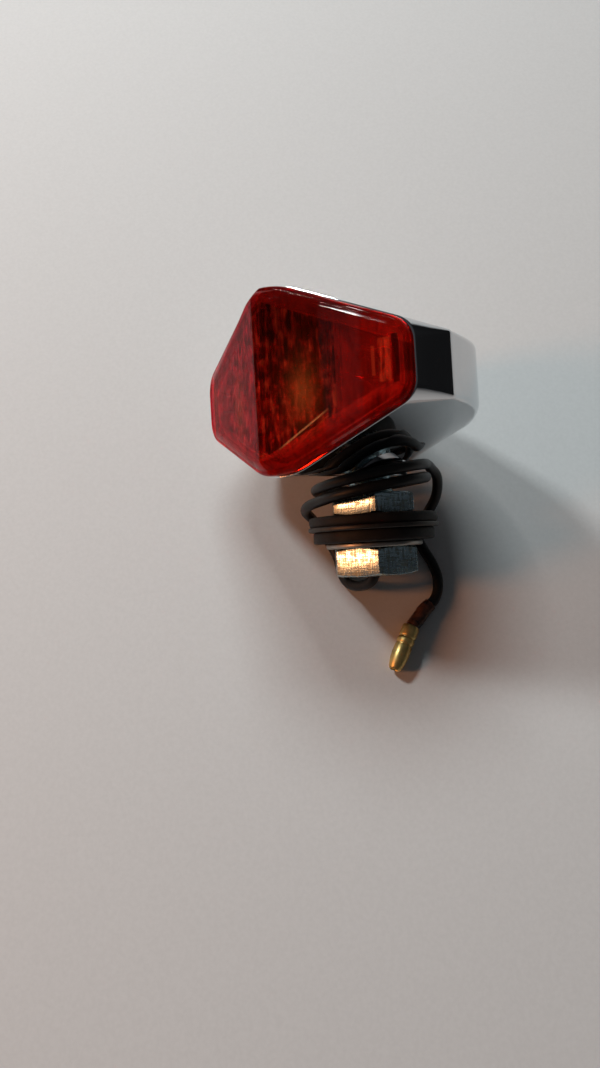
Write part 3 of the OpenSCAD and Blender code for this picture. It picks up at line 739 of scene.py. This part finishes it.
# %% The stud and its thread
bore_r = 2.0
root_r = 4.5
head_r = 6.7
stud_top = pad_z + 0.8
stud_outline = [
    (bore_r, stud_end + 0.3), (bore_r + 0.3, stud_end), (root_r - 0.2, stud_end), (root_r, stud_end + 0.3),
    (root_r, stud_top), (head_r - 0.2, stud_top), (head_r, stud_top + 0.2), (head_r, stud_top + 1.7),
    (head_r - 0.3, stud_top + 2), (bore_r + 0.2, stud_top + 2), (bore_r, stud_top + 1.8),
]
stud_core = spun("stud_core", stud_outline, bench)
thread_pitch = 1.5
thread_turns = 13.5
ridge_r = 0.52
tree = GeometryTree("stud thread")
turns = tree.size("Turns", thread_turns)
radius = tree.size("Radius", root_r)
climb = tree.size("Height", thread_pitch * thread_turns)
helix = tree.add("GeometryNodeCurveSpiral", Resolution=48, Rotations=turns, Start_Radius=radius,
                 End_Radius=radius, Height=climb)
profile = tree.add("GeometryNodeCurvePrimitiveCircle", {"mode": "RADIUS"}, Resolution=6, Radius=ridge_r)
swept = tree.add("GeometryNodeCurveToMesh", Curve=helix.outputs["Curve"],
                 Profile_Curve=profile.outputs["Curve"], Fill_Caps=True)
stud_thread = tree.grow("stud_thread", swept.outputs["Mesh"])
stud_thread.data.transform(from_bench @ Matrix.Translation((0, 0, stud_end + 0.5)))
stud_thread.data.shade_smooth()
print("thread:", thread_turns, "turns")

# %% [markdown]
# ## The lead's end
# A reddish-brown sleeve covers the last stretch of the lead, where it bends into a crimped brass
# bullet. The bullet is a turned piece with two crimp grooves and an open, rounded tip. It lies along
# its own axis on the table, so its outline is swept round that axis.

# %% The sleeve
sleeve_points = [Vector(p) for p in smooth([on_table(p) for p in sleeve_route], 8)]
sleeve_r = 1.45
sleeve_swell = 0.15
sleeve_ripple = 0.03


def tube_mesh(name, points, radii, sides=24, crisp=40):
    """A round tube through points with a radius at each, closed at both ends."""
    rings = []
    up = Vector((0, 0, 1))
    for i, p in enumerate(points):
        along = (points[min(i + 1, len(points) - 1)] - points[max(i - 1, 0)]).normalized()
        side = along.cross(up).normalized()
        over = side.cross(along)
        rings.append([p + radii[i] * MM * (x * side + y * over) for x, y in circle(1, sides)])
    return skin(name, rings, crisp)


last = len(sleeve_points) - 1
sleeve_radii = [sleeve_r + sleeve_swell * math.sin(math.pi * i / last) + sleeve_ripple * math.sin(i * 2.1)
                for i in range(len(sleeve_points))]
sleeve = tube_mesh("sleeve", sleeve_points, sleeve_radii)
print("sleeve:", len(sleeve.data.polygons), "faces")

# %% The bullet
bullet_way = Vector((-0.45, -0.89, 0)).normalized()
bullet_root = on_table(sleeve_route[-1])
bullet_turn = bullet_way.to_track_quat("Z", "Y")


def bullet_place(p):
    """A point along the bullet's own axis as a place in metres."""
    return bullet_root + bullet_turn @ (Vector(p) * MM)


bullet_r = 1.95
groove = [(bullet_r, 0), (1.88, 0.15), (1.74, 0.3), (1.74, 0.5), (1.88, 0.65), (bullet_r, 0.8)]
bullet_outline = [(0.9, 0), (1.5, 0), (1.8, 0.15), (1.93, 0.45), (bullet_r, 1.0)]
for groove_at in (2.55, 4.15):
    bullet_outline += [(r, groove_at + along) for r, along in groove]
bullet_outline += [
    (bullet_r, 7.0), (1.9, 8.0), (1.72, 9.0), (1.5, 9.8), (1.35, 10.25), (1.2, 10.5),
    (1.05, 10.58), (0.92, 10.5), (0.8, 10.2), (0.8, 8.0), (0.8, 1.0),
]
bullet = spun("bullet", bullet_outline, bullet_place, sides=64, crisp=35)
print("bullet:", len(bullet.data.polygons), "faces")

# %% [markdown]
# ## The lens screws
# Two screws hold the lens from behind. The pair is one shape repeated across the lamp's middle, so a
# small tree places it twice.

# %% One screw, placed twice
screw_tip = rim_y - ridge_out + facet_slope * screw_x + 1.8
shank_r = 1.5
cap_r = 2.6
screw_outline = [
    (0.01, screw_tip), (shank_r - 0.3, screw_tip), (shank_r, screw_tip + 0.4), (shank_r, head_seat),
    (cap_r - 0.1, head_seat), (cap_r, head_seat + 0.2), (cap_r, head_seat + 0.9),
    (cap_r - 0.25, head_seat + 1.5), (1.7, head_seat + 1.8),
    (0.7, head_seat + 1.85), (0.6, head_seat + 1.2), (0.01, head_seat + 1.1),
]
one_screw = spun("one_screw", screw_outline, Vector, sides=40)
tree = GeometryTree("lens screw pair")
out_to = tree.size("Across", screw_x)
# In this mode the Offset socket holds the place of the line's other end.
pair_places = tree.add("GeometryNodeMeshLine", {"mode": "END_POINTS"}, Count=2,
                       Start_Location=tree.point(X=tree.times(out_to, -1)), Offset=tree.point(X=out_to))
screw_shape = tree.add("GeometryNodeObjectInfo", Object=one_screw)
both = tree.add("GeometryNodeInstanceOnPoints", Points=pair_places.outputs["Mesh"],
                Instance=screw_shape.outputs["Geometry"], Rotation=(-math.pi / 2, 0, 0))
lens_screw_pair = tree.grow("lens_screw_pair", both.outputs["Instances"])
bpy.data.objects.remove(one_screw)
lens_screw_pair.data.transform(from_bench @ Matrix.Translation((0, 0, lamp_z)))
lens_screw_pair.data.shade_smooth()
print("screws placed at", -screw_x, "and", screw_x, "mm")

# %% The crossed slots in their heads
slot_long = 1.5
slot_half = 0.33
slots = []
for side in (-1, 1):
    for wide, high in ((slot_long, slot_half), (slot_half, slot_long)):
        corners = [bench((side * screw_x + a * wide, head_seat + y, lamp_z + b * high))
                   for y in (0.9, 2.5) for a, b in ((-1, -1), (1, -1), (1, 1), (-1, 1))]
        slots.append(skin("slot", [corners[:4], corners[4:]]))
carve(lens_screw_pair, slots)
lens_screw_pair.data.set_sharp_from_angle(angle=math.radians(30))
print("lens screws:", len(lens_screw_pair.data.polygons), "faces")

# %% [markdown]
# ## Finishes
# A finish is a material made from nodes. Its patterns are worked out as sums, so a small class lets a
# socket be added, multiplied or subtracted like a number. Only what changes over a surface is linked:
# colour, roughness, coat and bump. Everything read from Object coordinates is in metres, so a scale of
# 1000 gives a pattern of about a millimetre. The sky is made with the same class.

# %% Sockets that can be added and multiplied


def worked_out(operation, swapped=False):
    """A method of Value that adds one Math node."""

    def method(self, other=0.0):
        first, second = (other, self) if swapped else (self, other)
        return self.finish.add("ShaderNodeMath", {"operation": operation}, {0: first, 1: second})

    return method


class Value:
    """A node's output that takes part in sums."""

    def __init__(self, finish, socket):
        self.finish = finish
        self.socket = socket

    __add__ = __radd__ = worked_out("ADD")
    __sub__ = worked_out("SUBTRACT")
    __rsub__ = worked_out("SUBTRACT", swapped=True)
    __mul__ = __rmul__ = worked_out("MULTIPLY")
    __truediv__ = worked_out("DIVIDE")
    __rtruediv__ = worked_out("DIVIDE", swapped=True)
    __gt__ = worked_out("GREATER_THAN")
    __lt__ = worked_out("LESS_THAN")
    size = worked_out("ABSOLUTE")
    whole = worked_out("FLOOR")
    part = worked_out("FRACT")


class Finish:
    """A material, or the sky, made node by node."""

    def __init__(self, name, sky=False):
        self.made = (bpy.data.worlds if sky else bpy.data.materials).new(name)
        self.made.use_nodes = True
        self.nodes = self.made.node_tree.nodes
        self.links = self.made.node_tree.links
        self.nodes.clear()
        self.coords = self.add("ShaderNodeTexCoord", out="Generated" if sky else "Object")

    def add(self, kind, settings=None, inputs=None, out=0):
        """A node, with its settings first and then the values or links of its sockets."""
        node = self.nodes.new(kind)
        for key, value in (settings or {}).items():
            if key == "stops":
                ramp = node.color_ramp
                while len(ramp.elements) < len(value):
                    ramp.elements.new(0.5)
                for element, (place, shade) in zip(ramp.elements, value):
                    element.position = place
                    element.color = (*shade, 1) if isinstance(shade, tuple) else (shade, shade, shade, 1)
            else:
                setattr(node, key, value)
        for key, value in (inputs or {}).items():
            if isinstance(value, Value):
                self.links.new(value.socket, node.inputs[key])
            else:
                node.inputs[key].default_value = value
        return Value(self, node.outputs[out])

    def on_bench(self):
        """The place on the bench, in millimetres: for patterns that follow the lamp's own axes."""
        back = to_table.to_3x3().transposed().to_euler()
        return self.add("ShaderNodeMapping", None,
                        {"Vector": self.coords, "Rotation": tuple(back), "Scale": (1000, 1000, 1000)})

    def split(self, vector):
        """The three parts of a vector."""
        node = self.add("ShaderNodeSeparateXYZ", None, {0: vector}).socket.node
        return [Value(self, node.outputs[i]) for i in range(3)]

    def noise(self, scale, detail, stretch=(1, 1, 1), rough=0.5, place=None):
        """Cloudy noise from 0 to 1, in patches of about 1 / scale of its place, which is in metres."""
        where = self.add("ShaderNodeMapping", None, {"Vector": place or self.coords, "Scale": stretch})
        return self.add("ShaderNodeTexNoise", None,
                        {"Vector": where, "Scale": scale, "Detail": detail, "Roughness": rough})

    def ramp(self, value, *stops):
        """A colour or a number that changes with a value."""
        return self.add("ShaderNodeValToRGB", {"stops": stops}, {"Fac": value})

    def mix(self, amount, first, second):
        """One colour into another."""
        return self.add("ShaderNodeMix", {"data_type": "RGBA"}, {0: amount, 6: first, 7: second}, out=2)

    def bump(self, height, strength, distance):
        """Small hills for the light, by their height."""
        inputs = {"Height": height, "Strength": strength, "Distance": distance}
        return self.add("ShaderNodeBump", None, inputs)

    def surface(self, **sockets):
        """Ends the material in one Principled shader."""
        inputs = {key.replace("_", " "): value for key, value in sockets.items()}
        return self.end(self.add("ShaderNodeBsdfPrincipled", None, inputs), "ShaderNodeOutputMaterial")

    def end(self, shader, output):
        """Ends the nodes in a shader and gives the material or the sky."""
        ended = self.nodes.new(output)
        self.links.new(shader.socket, ended.inputs["Surface"])
        return self.made


print("finish helpers ready")

# %% [markdown]
# ## Chrome and plated steel
# Chrome is a mirror with a faint grey tone. What makes it look real is what it reflects and the little
# that spoils it: a haze of fine wiping marks, and small pits. The nuts and washers are plated too, but
# plain work, so they are duller and show more marks.

# %% Metal finishes


def plated(name, colour, dull, marks, pits=0.0):
    """Bright plate with wiping marks, more or less dull."""
    finish = Finish(name)
    haze = finish.noise(180, 4)
    wiping = finish.noise(900, 2, stretch=(1, 0.08, 0.3))
    speck = finish.noise(2600, 1) > 0.76
    rough = dull + marks * 0.5 * haze + marks * (wiping > 0.6) * 0.35
    shade = finish.ramp(haze, (0.2, tuple(0.93 * c for c in colour)), (0.7, colour))
    shade = finish.mix(speck * pits, shade, (0.12, 0.10, 0.08, 1))
    height = wiping * 0.3 + finish.noise(4000, 2) * 0.2 - speck * pits
    return finish.surface(Base_Color=shade, Metallic=1.0, Roughness=rough,
                          Normal=finish.bump(height, 0.06, 0.00003))


chrome = plated("bright chrome", (0.68, 0.695, 0.71), 0.02, 0.06)


def worn_plate(name, bright, worn):
    """Plate with brown wear in fine upright and level rows, as a handled nut has."""
    finish = Finish(name)
    place = finish.on_bench()
    rows_up = finish.noise(2.6, 2, stretch=(1, 1, 0.12), place=place)
    rows_level = finish.noise(2.6, 2, stretch=(0.15, 0.15, 1.2), place=place)
    wear = finish.ramp(0.5 * rows_up + 0.5 * rows_level, (0.42, 1.0), (0.53, 0.0))
    haze = finish.noise(180, 4)
    rough = 0.17 + 0.10 * haze + 0.14 * wear
    height = rows_up * 0.6 + rows_level * 0.4 - 0.5 * wear
    return finish.surface(Base_Color=finish.mix(0.8 * wear, bright, worn), Metallic=1.0, Roughness=rough,
                          Normal=finish.bump(height, 0.2, 0.00006))


nut_plate = worn_plate("plated nut", (0.54, 0.74, 0.80, 1), (0.20, 0.20, 0.16, 1))
washer_plate = plated("plated washer", (0.36, 0.34, 0.31), 0.36, 0.22, 0.6)
steel = plated("plain steel", (0.07, 0.065, 0.06), 0.44, 0.25, 0.5)
aluminium = plated("soft aluminium", (0.76, 0.76, 0.77), 0.3, 0.2)


def brassy(name, colour, dull):
    """Brass with a slight tarnish in patches."""
    finish = Finish(name)
    patch = finish.noise(450, 4)
    shade = finish.ramp(patch, (0.25, tuple(0.55 * c for c in colour)), (0.6, colour))
    rough = dull + 0.18 * finish.noise(800, 3)
    height = finish.noise(2500, 3)
    return finish.surface(Base_Color=shade, Metallic=1.0, Roughness=rough,
                          Normal=finish.bump(height, 0.12, 0.00004))


brass = brassy("bullet brass", (0.80, 0.57, 0.21), 0.31)
cap_brass = brassy("cap brass", (0.80, 0.62, 0.32), 0.22)
print("metals:", [m.name for m in (chrome, nut_plate, washer_plate, steel, aluminium, brass, cap_brass)])

# %% [markdown]
# ## Rubber, insulation and plastics
# Black rubber is never quite black: it carries a bloom and dust that lift its edges. The lead's
# insulation is smoother, with a soft sheen. The sleeve is a clear-ish reddish-brown plastic that lets
# some light in, and the reflector is glossy white plastic, greyed a little by age.

# %% Dark and plain finishes


def rubbery(name, colour, bloom, dull, grain):
    """Rubber, plastic or fibre with a bloom in patches."""
    finish = Finish(name)
    patch = finish.noise(350, 5)
    shade = finish.ramp(patch, (0.35, colour), (0.8, bloom))
    rough = dull + 0.2 * finish.noise(1500, 3)
    height = finish.noise(grain, 3)
    return finish.surface(Base_Color=shade, Roughness=rough, Specular_IOR_Level=0.3,
                          Normal=finish.bump(height, 0.25, 0.00005))


rubber = rubbery("black rubber", (0.006, 0.0055, 0.005), (0.022, 0.019, 0.017), 0.55, 3000)
insulation = rubbery("black insulation", (0.004, 0.004, 0.004), (0.010, 0.0095, 0.009), 0.34, 1800)
white_plastic = rubbery("reflector white", (0.50, 0.49, 0.46), (0.60, 0.59, 0.57), 0.18, 1500)
fibre = rubbery("pressed fibre", (0.16, 0.07, 0.03), (0.24, 0.12, 0.06), 0.6, 2500)

finish = Finish("sleeving")
patch = finish.noise(700, 4)
brown = finish.ramp(patch, (0.35, (0.02, 0.009, 0.006)), (0.7, (0.20, 0.07, 0.03)))
sleeving = finish.surface(Base_Color=brown, Roughness=0.22 + 0.15 * patch, Transmission_Weight=0.35,
                          IOR=1.45, Normal=finish.bump(finish.noise(1600, 3), 0.2, 0.00005))
print("soft finishes:", [m.name for m in (rubber, insulation, white_plastic, fibre, sleeving)])

# %% [markdown]
# ## Clear red plastic
# The lens is one clear red plastic, but its flutes and notches break what lies behind into small
# dark and bright prisms, finer than the mesh could carry. So their light and shade are painted into
# the colour. Behind the facets there are cells as wide as a flute, pushed out of line by noise and
# mixed with upright streaks, with painted shade in the valleys between flutes. The bevel stays plain,
# and both get painted shade along the top.

# %% The prisms behind the facets
lens = Finish("red lens")
lens_place = lens.on_bench()
lens_parts = lens.split(lens_place)
bench_x = lens_parts[0]
across = bench_x.size()
up = lens_parts[2] - lamp_z
uneven = lens.noise(450, 4) - 0.5
flute_at = (across + 2.2 * uneven) / flute_w
notch_at = (up + 5 * uneven) / notch_pitch + 0.5
# The right facet's cells are counted on from a number the left one never reaches.
right_from = 31
column = flute_at.whole() + right_from * (bench_x > 0)
cell = lens.add("ShaderNodeCombineXYZ", None, {0: column, 1: notch_at.whole()})
prism = lens.add("ShaderNodeTexWhiteNoise", {"noise_dimensions": "3D"}, {"Vector": cell})
cloud = lens.noise(420, 4)
streaks = lens.noise(1.1, 4, stretch=(1.2, 1, 0.22), rough=0.6, place=lens_place)
# Painted light and shade of the prisms: a brightness for each cell, mixed with streaks and clouds.
lit = 0.26 * prism + 1.9 * streaks + 1.5 * cloud - 1.38
tint = lens.ramp(lit, (0.14, (0.035, 0.001, 0.001)), (0.40, (0.20, 0.004, 0.002)),
                 (0.62, (0.52, 0.012, 0.005)), (0.85, (0.92, 0.055, 0.018)))
# Painted shade in the valley at each flute's edges.
flute_part = flute_at.part()
painted_valley_shade = 1 - 4 * flute_part * (1 - flute_part)
tint = lens.mix(0.6 * painted_valley_shade, tint, (0.05, 0.002, 0.001, 1))
print("prisms about", flute_w, "by", notch_pitch, "mm")

# %% Prisms on the facets, plain plastic round them
upper_h = 12
facet_lean = 0.47
facet_top = 15.4
plain = lens.ramp(0.4 * cloud + 0.6 * streaks, (0.3, (0.24, 0.005, 0.003)), (0.62, (1.0, 0.020, 0.009)))
# Painted shade along the top of the bevel.
top_shade = lens.ramp((up + 1.5 * uneven) / upper_h, (0.25, 0.0), (0.85, 0.8))
plain = lens.mix(top_shade, plain, (0.09, 0.0025, 0.002, 1))
in_facet = up.size() + facet_lean * across < facet_top
plain = lens.mix(0.5 * in_facet, plain, (0.09, 0.003, 0.002, 1))
fluted = (across < flute_count * flute_w) * in_facet
# Painted shade over the upper part of the prisms.
painted_upper_shade = lens.ramp((up + 8 * uneven) / upper_h, (0.05, 0.0), (0.65, 0.6))
tint = lens.mix(painted_upper_shade, tint, (0.02, 0.001, 0.001, 1))
tint = lens.mix(fluted, plain, tint)
print("prisms up to", round(flute_count * flute_w, 1), "mm from the ridge")

# %% [markdown]
# ## Painted light and shade in the lens
# Four things stand out in the red, and all are painted into its colour. Each facet has a painted glow
# where the bulb lies behind it. Near the lens's ends there is a painted bright block, with a bright
# strip and a painted dark bar of shade beside it, and low on the right facet a painted highlight line.
# The left facet, which looks at a cooler part of the room, gets a crimson painted reflection. Each is a
# mask worked out from the place on the bench, and the mask mixes one colour into another.

# %% The painted glow, light and shade near the ends, highlight line and left facet's reflection
glow_x = 9
glow_up = -3.5
glow_w_squared = 9
glow_h_squared = 34
highlight_x = 3.5
highlight_up = -14
highlight_way = (0.8345, 0.551)
highlight_middle = 6.3
highlight_half = 6.4
highlight_w = 0.17
left_from = -0.4


def end_block(inner, outer, half_high):
    """1 within an upright block near both ends of the lens, and 0 elsewhere."""
    return (across > inner) * (across < outer) * (up.size() < half_high)


# A painted glow where the bulb lies behind each facet.
off_x = across - glow_x
off_up = up - glow_up
painted_bulb_glow = 1 / (1 + off_x * off_x / glow_w_squared + off_up * off_up / glow_h_squared)
tint = lens.mix(0.62 * painted_bulb_glow * painted_bulb_glow, tint, (0.80, 0.17, 0.035, 1))
# Painted light near the lens's ends: a bright block and a narrower strip.
lively = lens.ramp(streaks, (0.4, 0.1), (0.55, 0.95))
bright = lively * end_block(22.9, 25.0, 3.9) + 0.7 * end_block(21.7, 22.3, 2.7)
tint = lens.mix(bright, tint, (1.0, 0.06, 0.02, 1))
# A painted dark bar of shade beside them.
tint = lens.mix(0.85 * end_block(25.3, 26.5, 4.3), tint, (0.04, 0.002, 0.002, 1))
highlight_off_x = bench_x - highlight_x
highlight_off_up = up - highlight_up
along_highlight = highlight_way[0] * highlight_off_x + highlight_way[1] * highlight_off_up
off_highlight = (highlight_way[1] * highlight_off_x - highlight_way[0] * highlight_off_up).size()
painted_highlight_fade = lens.ramp(1 - (along_highlight - highlight_middle).size() / highlight_half, (0.05, 0.0), (0.45, 1.0))
# A painted highlight along a line low on the right facet.
tint = lens.mix(painted_highlight_fade * (off_highlight < highlight_w), tint, (1.0, 0.36, 0.12, 1))
# A crimson painted reflection on the left facet.
crimson_painted_reflection = lens.ramp(cloud, (0.4, (0.30, 0.004, 0.012)), (0.62, (0.95, 0.02, 0.06)))
tint = lens.mix((bench_x < left_from) * 0.55, tint, crimson_painted_reflection)
print("glow", glow_x, "mm from the ridge")

# %% [markdown]
# ## The lens's shader, and bulb glass
# The lens transmits. Only an upright band of it is still polished enough to mirror a window, which
# shows on the upper bevel. The bulb's glass is thin and almost clear.

# %% The polished band and both clear finishes
band_x = 16.3
band_half = 3.6
wipe = lens.noise(500, 3, stretch=(1, 0.15, 1))
from_band = (bench_x - band_x) / band_half
gloss = lens.ramp(1 - 0.5 * from_band * from_band + 0.6 * uneven, (0.4, 0.0), (0.6, 1.0))
lens_red = lens.surface(Base_Color=tint, Roughness=0.02 + 0.05 * wipe, Transmission_Weight=0.72,
                        IOR=1.09, Coat_Weight=gloss, Coat_Roughness=0.03,
                        Normal=lens.bump(lens.noise(300, 2), 0.02, 0.00005))
finish = Finish("bulb glass")
warm_clear = finish.ramp(finish.noise(200, 2), (0.3, (0.97, 0.95, 0.9)), (0.7, (1.0, 0.98, 0.94)))
clear_glass = finish.surface(Base_Color=warm_clear, Roughness=0.02 + 0.03 * finish.noise(400, 2),
                             Transmission_Weight=1.0, IOR=1.45)
print("clear finishes:", [m.name for m in (lens_red, clear_glass)])

# %% [markdown]
# ## Dressing the frame
# Each made piece stands for its CAD node and rides on the same body, so a turned nut or a pushed bulb
# moves as it does in the CAD. The nodes that are right as they are only get their finish.

# %% Say what each piece replaces and rides on


def attach(piece, body, finish_made):
    """Gives a piece its finish, and says what it moves with."""
    piece.data.materials.clear()
    piece.data.materials.append(finish_made)
    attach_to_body(piece, body)


def dress(piece, node, body, finish_made):
    """The same for a piece that also takes its CAD node's place."""
    attach(piece, body, finish_made)
    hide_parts(node)


dress(body_shell, "housing", "lamp", chrome)
attach(stud_foot, "lamp", chrome)
dress(lens_piece, "lens", "lamp", lens_red)
dress(lens_screw_pair, "lens_screws", "lamp", steel)
dress(stud_core, "stud", "lamp", nut_plate)
attach(stud_thread, "lamp", nut_plate)
dress(upper_nut, "jam_nut", "lamp", nut_plate)
dress(washers["rubber_upper"], "rubber_washer_upper", "lamp", rubber)
dress(washers["steel_ring"], "steel_washer", "clamp_washers", steel)
dress(washers["rubber_lower"], "rubber_washer_lower", "clamp_washers", rubber)
dress(washers["plain_ring"], "plain_washer", "clamp_washers", washer_plate)
dress(lower_nut, "clamp_nut", "clamp_nut", nut_plate)
dress(sleeve, "lead_sleeve", "lamp", sleeving)
dress(bullet, "bullet_connector", "lamp", brass)
lead.data.materials.append(insulation)
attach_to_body(lead, "lamp")
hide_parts("lead_exit", "lead_winding", "lead_tail")
kept = {
    "lens_gasket": rubber, "reflector": white_plastic, "bulb_holder": steel, "holder_rivets": aluminium,
    "bulb_glass": clear_glass, "bulb_cap": cap_brass, "bulb_filament": steel,
    "contact_plunger": cap_brass, "insulator_disc": fibre, "feed_terminal": cap_brass,
    "stud_spring_washer": steel, "lead_grommet": rubber, "inner_lead": insulation,
}
for node, finish_made in kept.items():
    mesh = frame["nodes"][node].data
    for slot in range(len(mesh.materials)):
        mesh.materials[slot] = finish_made
print("dressed", len(kept), "CAD nodes")

# %% [markdown]
# ## The contact spring
# The spring behind the bulb's contact is pressed short when the bulb is pushed in. The real coil closes
# up along its own axis. A copy of the CAD coil takes the spring's place, with a mesh of its own.

# %% A copy of the contact coil
coil = frame["nodes"]["contact_spring"].data
contact_coil = piece_from("contact_coil", [v.co for v in coil.vertices],
                          [tuple(face.vertices) for face in coil.polygons], recalc=True)
dress(contact_coil, "contact_spring", "lamp", steel)
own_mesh(contact_coil)

# %% [markdown]
# ## Table, room and light
# The lamp lies on pale paper. Chrome shows the room more than itself: two white lights from the upper
# left, a low warm one from the left that reaches where the others are cut off and makes the brown
# shadow, and a dark room all round. The room is a plain sky of a few broad tones, and a small lamp
# between the two white ones gives the lens its streak.

# %% The paper
floor_z = cad_box[0][2]
paper_half = 3.0
paper_corners = [(x * paper_half, y * paper_half, floor_z) for x, y in ((-1, -1), (1, -1), (1, 1), (-1, 1))]
floor = piece_from("paper", paper_corners, [(0, 1, 2, 3)])
finish = Finish("pale paper")
grain = finish.noise(1200, 4)
pale = finish.ramp(grain, (0.3, (0.60, 0.60, 0.59)), (0.7, (0.63, 0.63, 0.62)))
paper = finish.surface(Base_Color=pale, Roughness=0.75, Normal=finish.bump(grain, 0.08, 0.00005))
floor.data.materials.append(paper)
print("paper at", round(floor_z * 1000, 2), "mm")

# %% Lamps
centre = Vector((0.0, 0.012, 0.0))


def from_side(around, height, distance):
    """A place seen from the lamp at an angle round the table and a height over it, in degrees."""
    turned = math.radians(around)
    raised = math.radians(height)
    level = distance * math.cos(raised)
    return (centre.x + level * math.cos(turned), centre.y + level * math.sin(turned),
            distance * math.sin(raised))


def soft_lamp(name, place, size_x, size_y, watts, colour):
    """A soft box that looks at the marker light."""
    data = bpy.data.lights.new(name, "AREA")
    data.shape = "RECTANGLE"
    data.size = size_x
    data.size_y = size_y
    data.energy = watts
    data.color = colour
    made = in_scene(name, data)
    made.location = place
    made.rotation_euler = (centre - Vector(place)).to_track_quat("-Z", "Y").to_euler()


soft_lamp("ceiling_light", from_side(136, 40, 0.85), 0.10, 0.10, 3.4, (0.91, 0.98, 1.0))
soft_lamp("window", from_side(96, 44, 1.0), 0.36, 0.26, 4.4, (0.89, 0.975, 1.0))
soft_lamp("window_gap", from_side(113, 43, 1.0), 0.05, 0.14, 0.9, (1.0, 1.0, 1.0))
soft_lamp("warm_room", from_side(186, 27, 0.95), 0.14, 0.24, 2.8, (1.0, 0.38, 0.15))
print("four soft lamps")

# %% The room as chrome sees it
room = Finish("room", sky=True)
over_floor = room.split(room.coords)[2]
tones = room.ramp(over_floor, (0.06, (0.008, 0.008, 0.0085)), (0.35, (0.022, 0.022, 0.024)),
                  (0.62, (0.05, 0.051, 0.055)))
shine = room.add("ShaderNodeBackground", None, {"Color": tones, "Strength": 1.0})
bpy.context.scene.world = room.end(shine, "ShaderNodeOutputWorld")
bpy.context.scene.view_settings.view_transform = "Standard"
print("room ready")
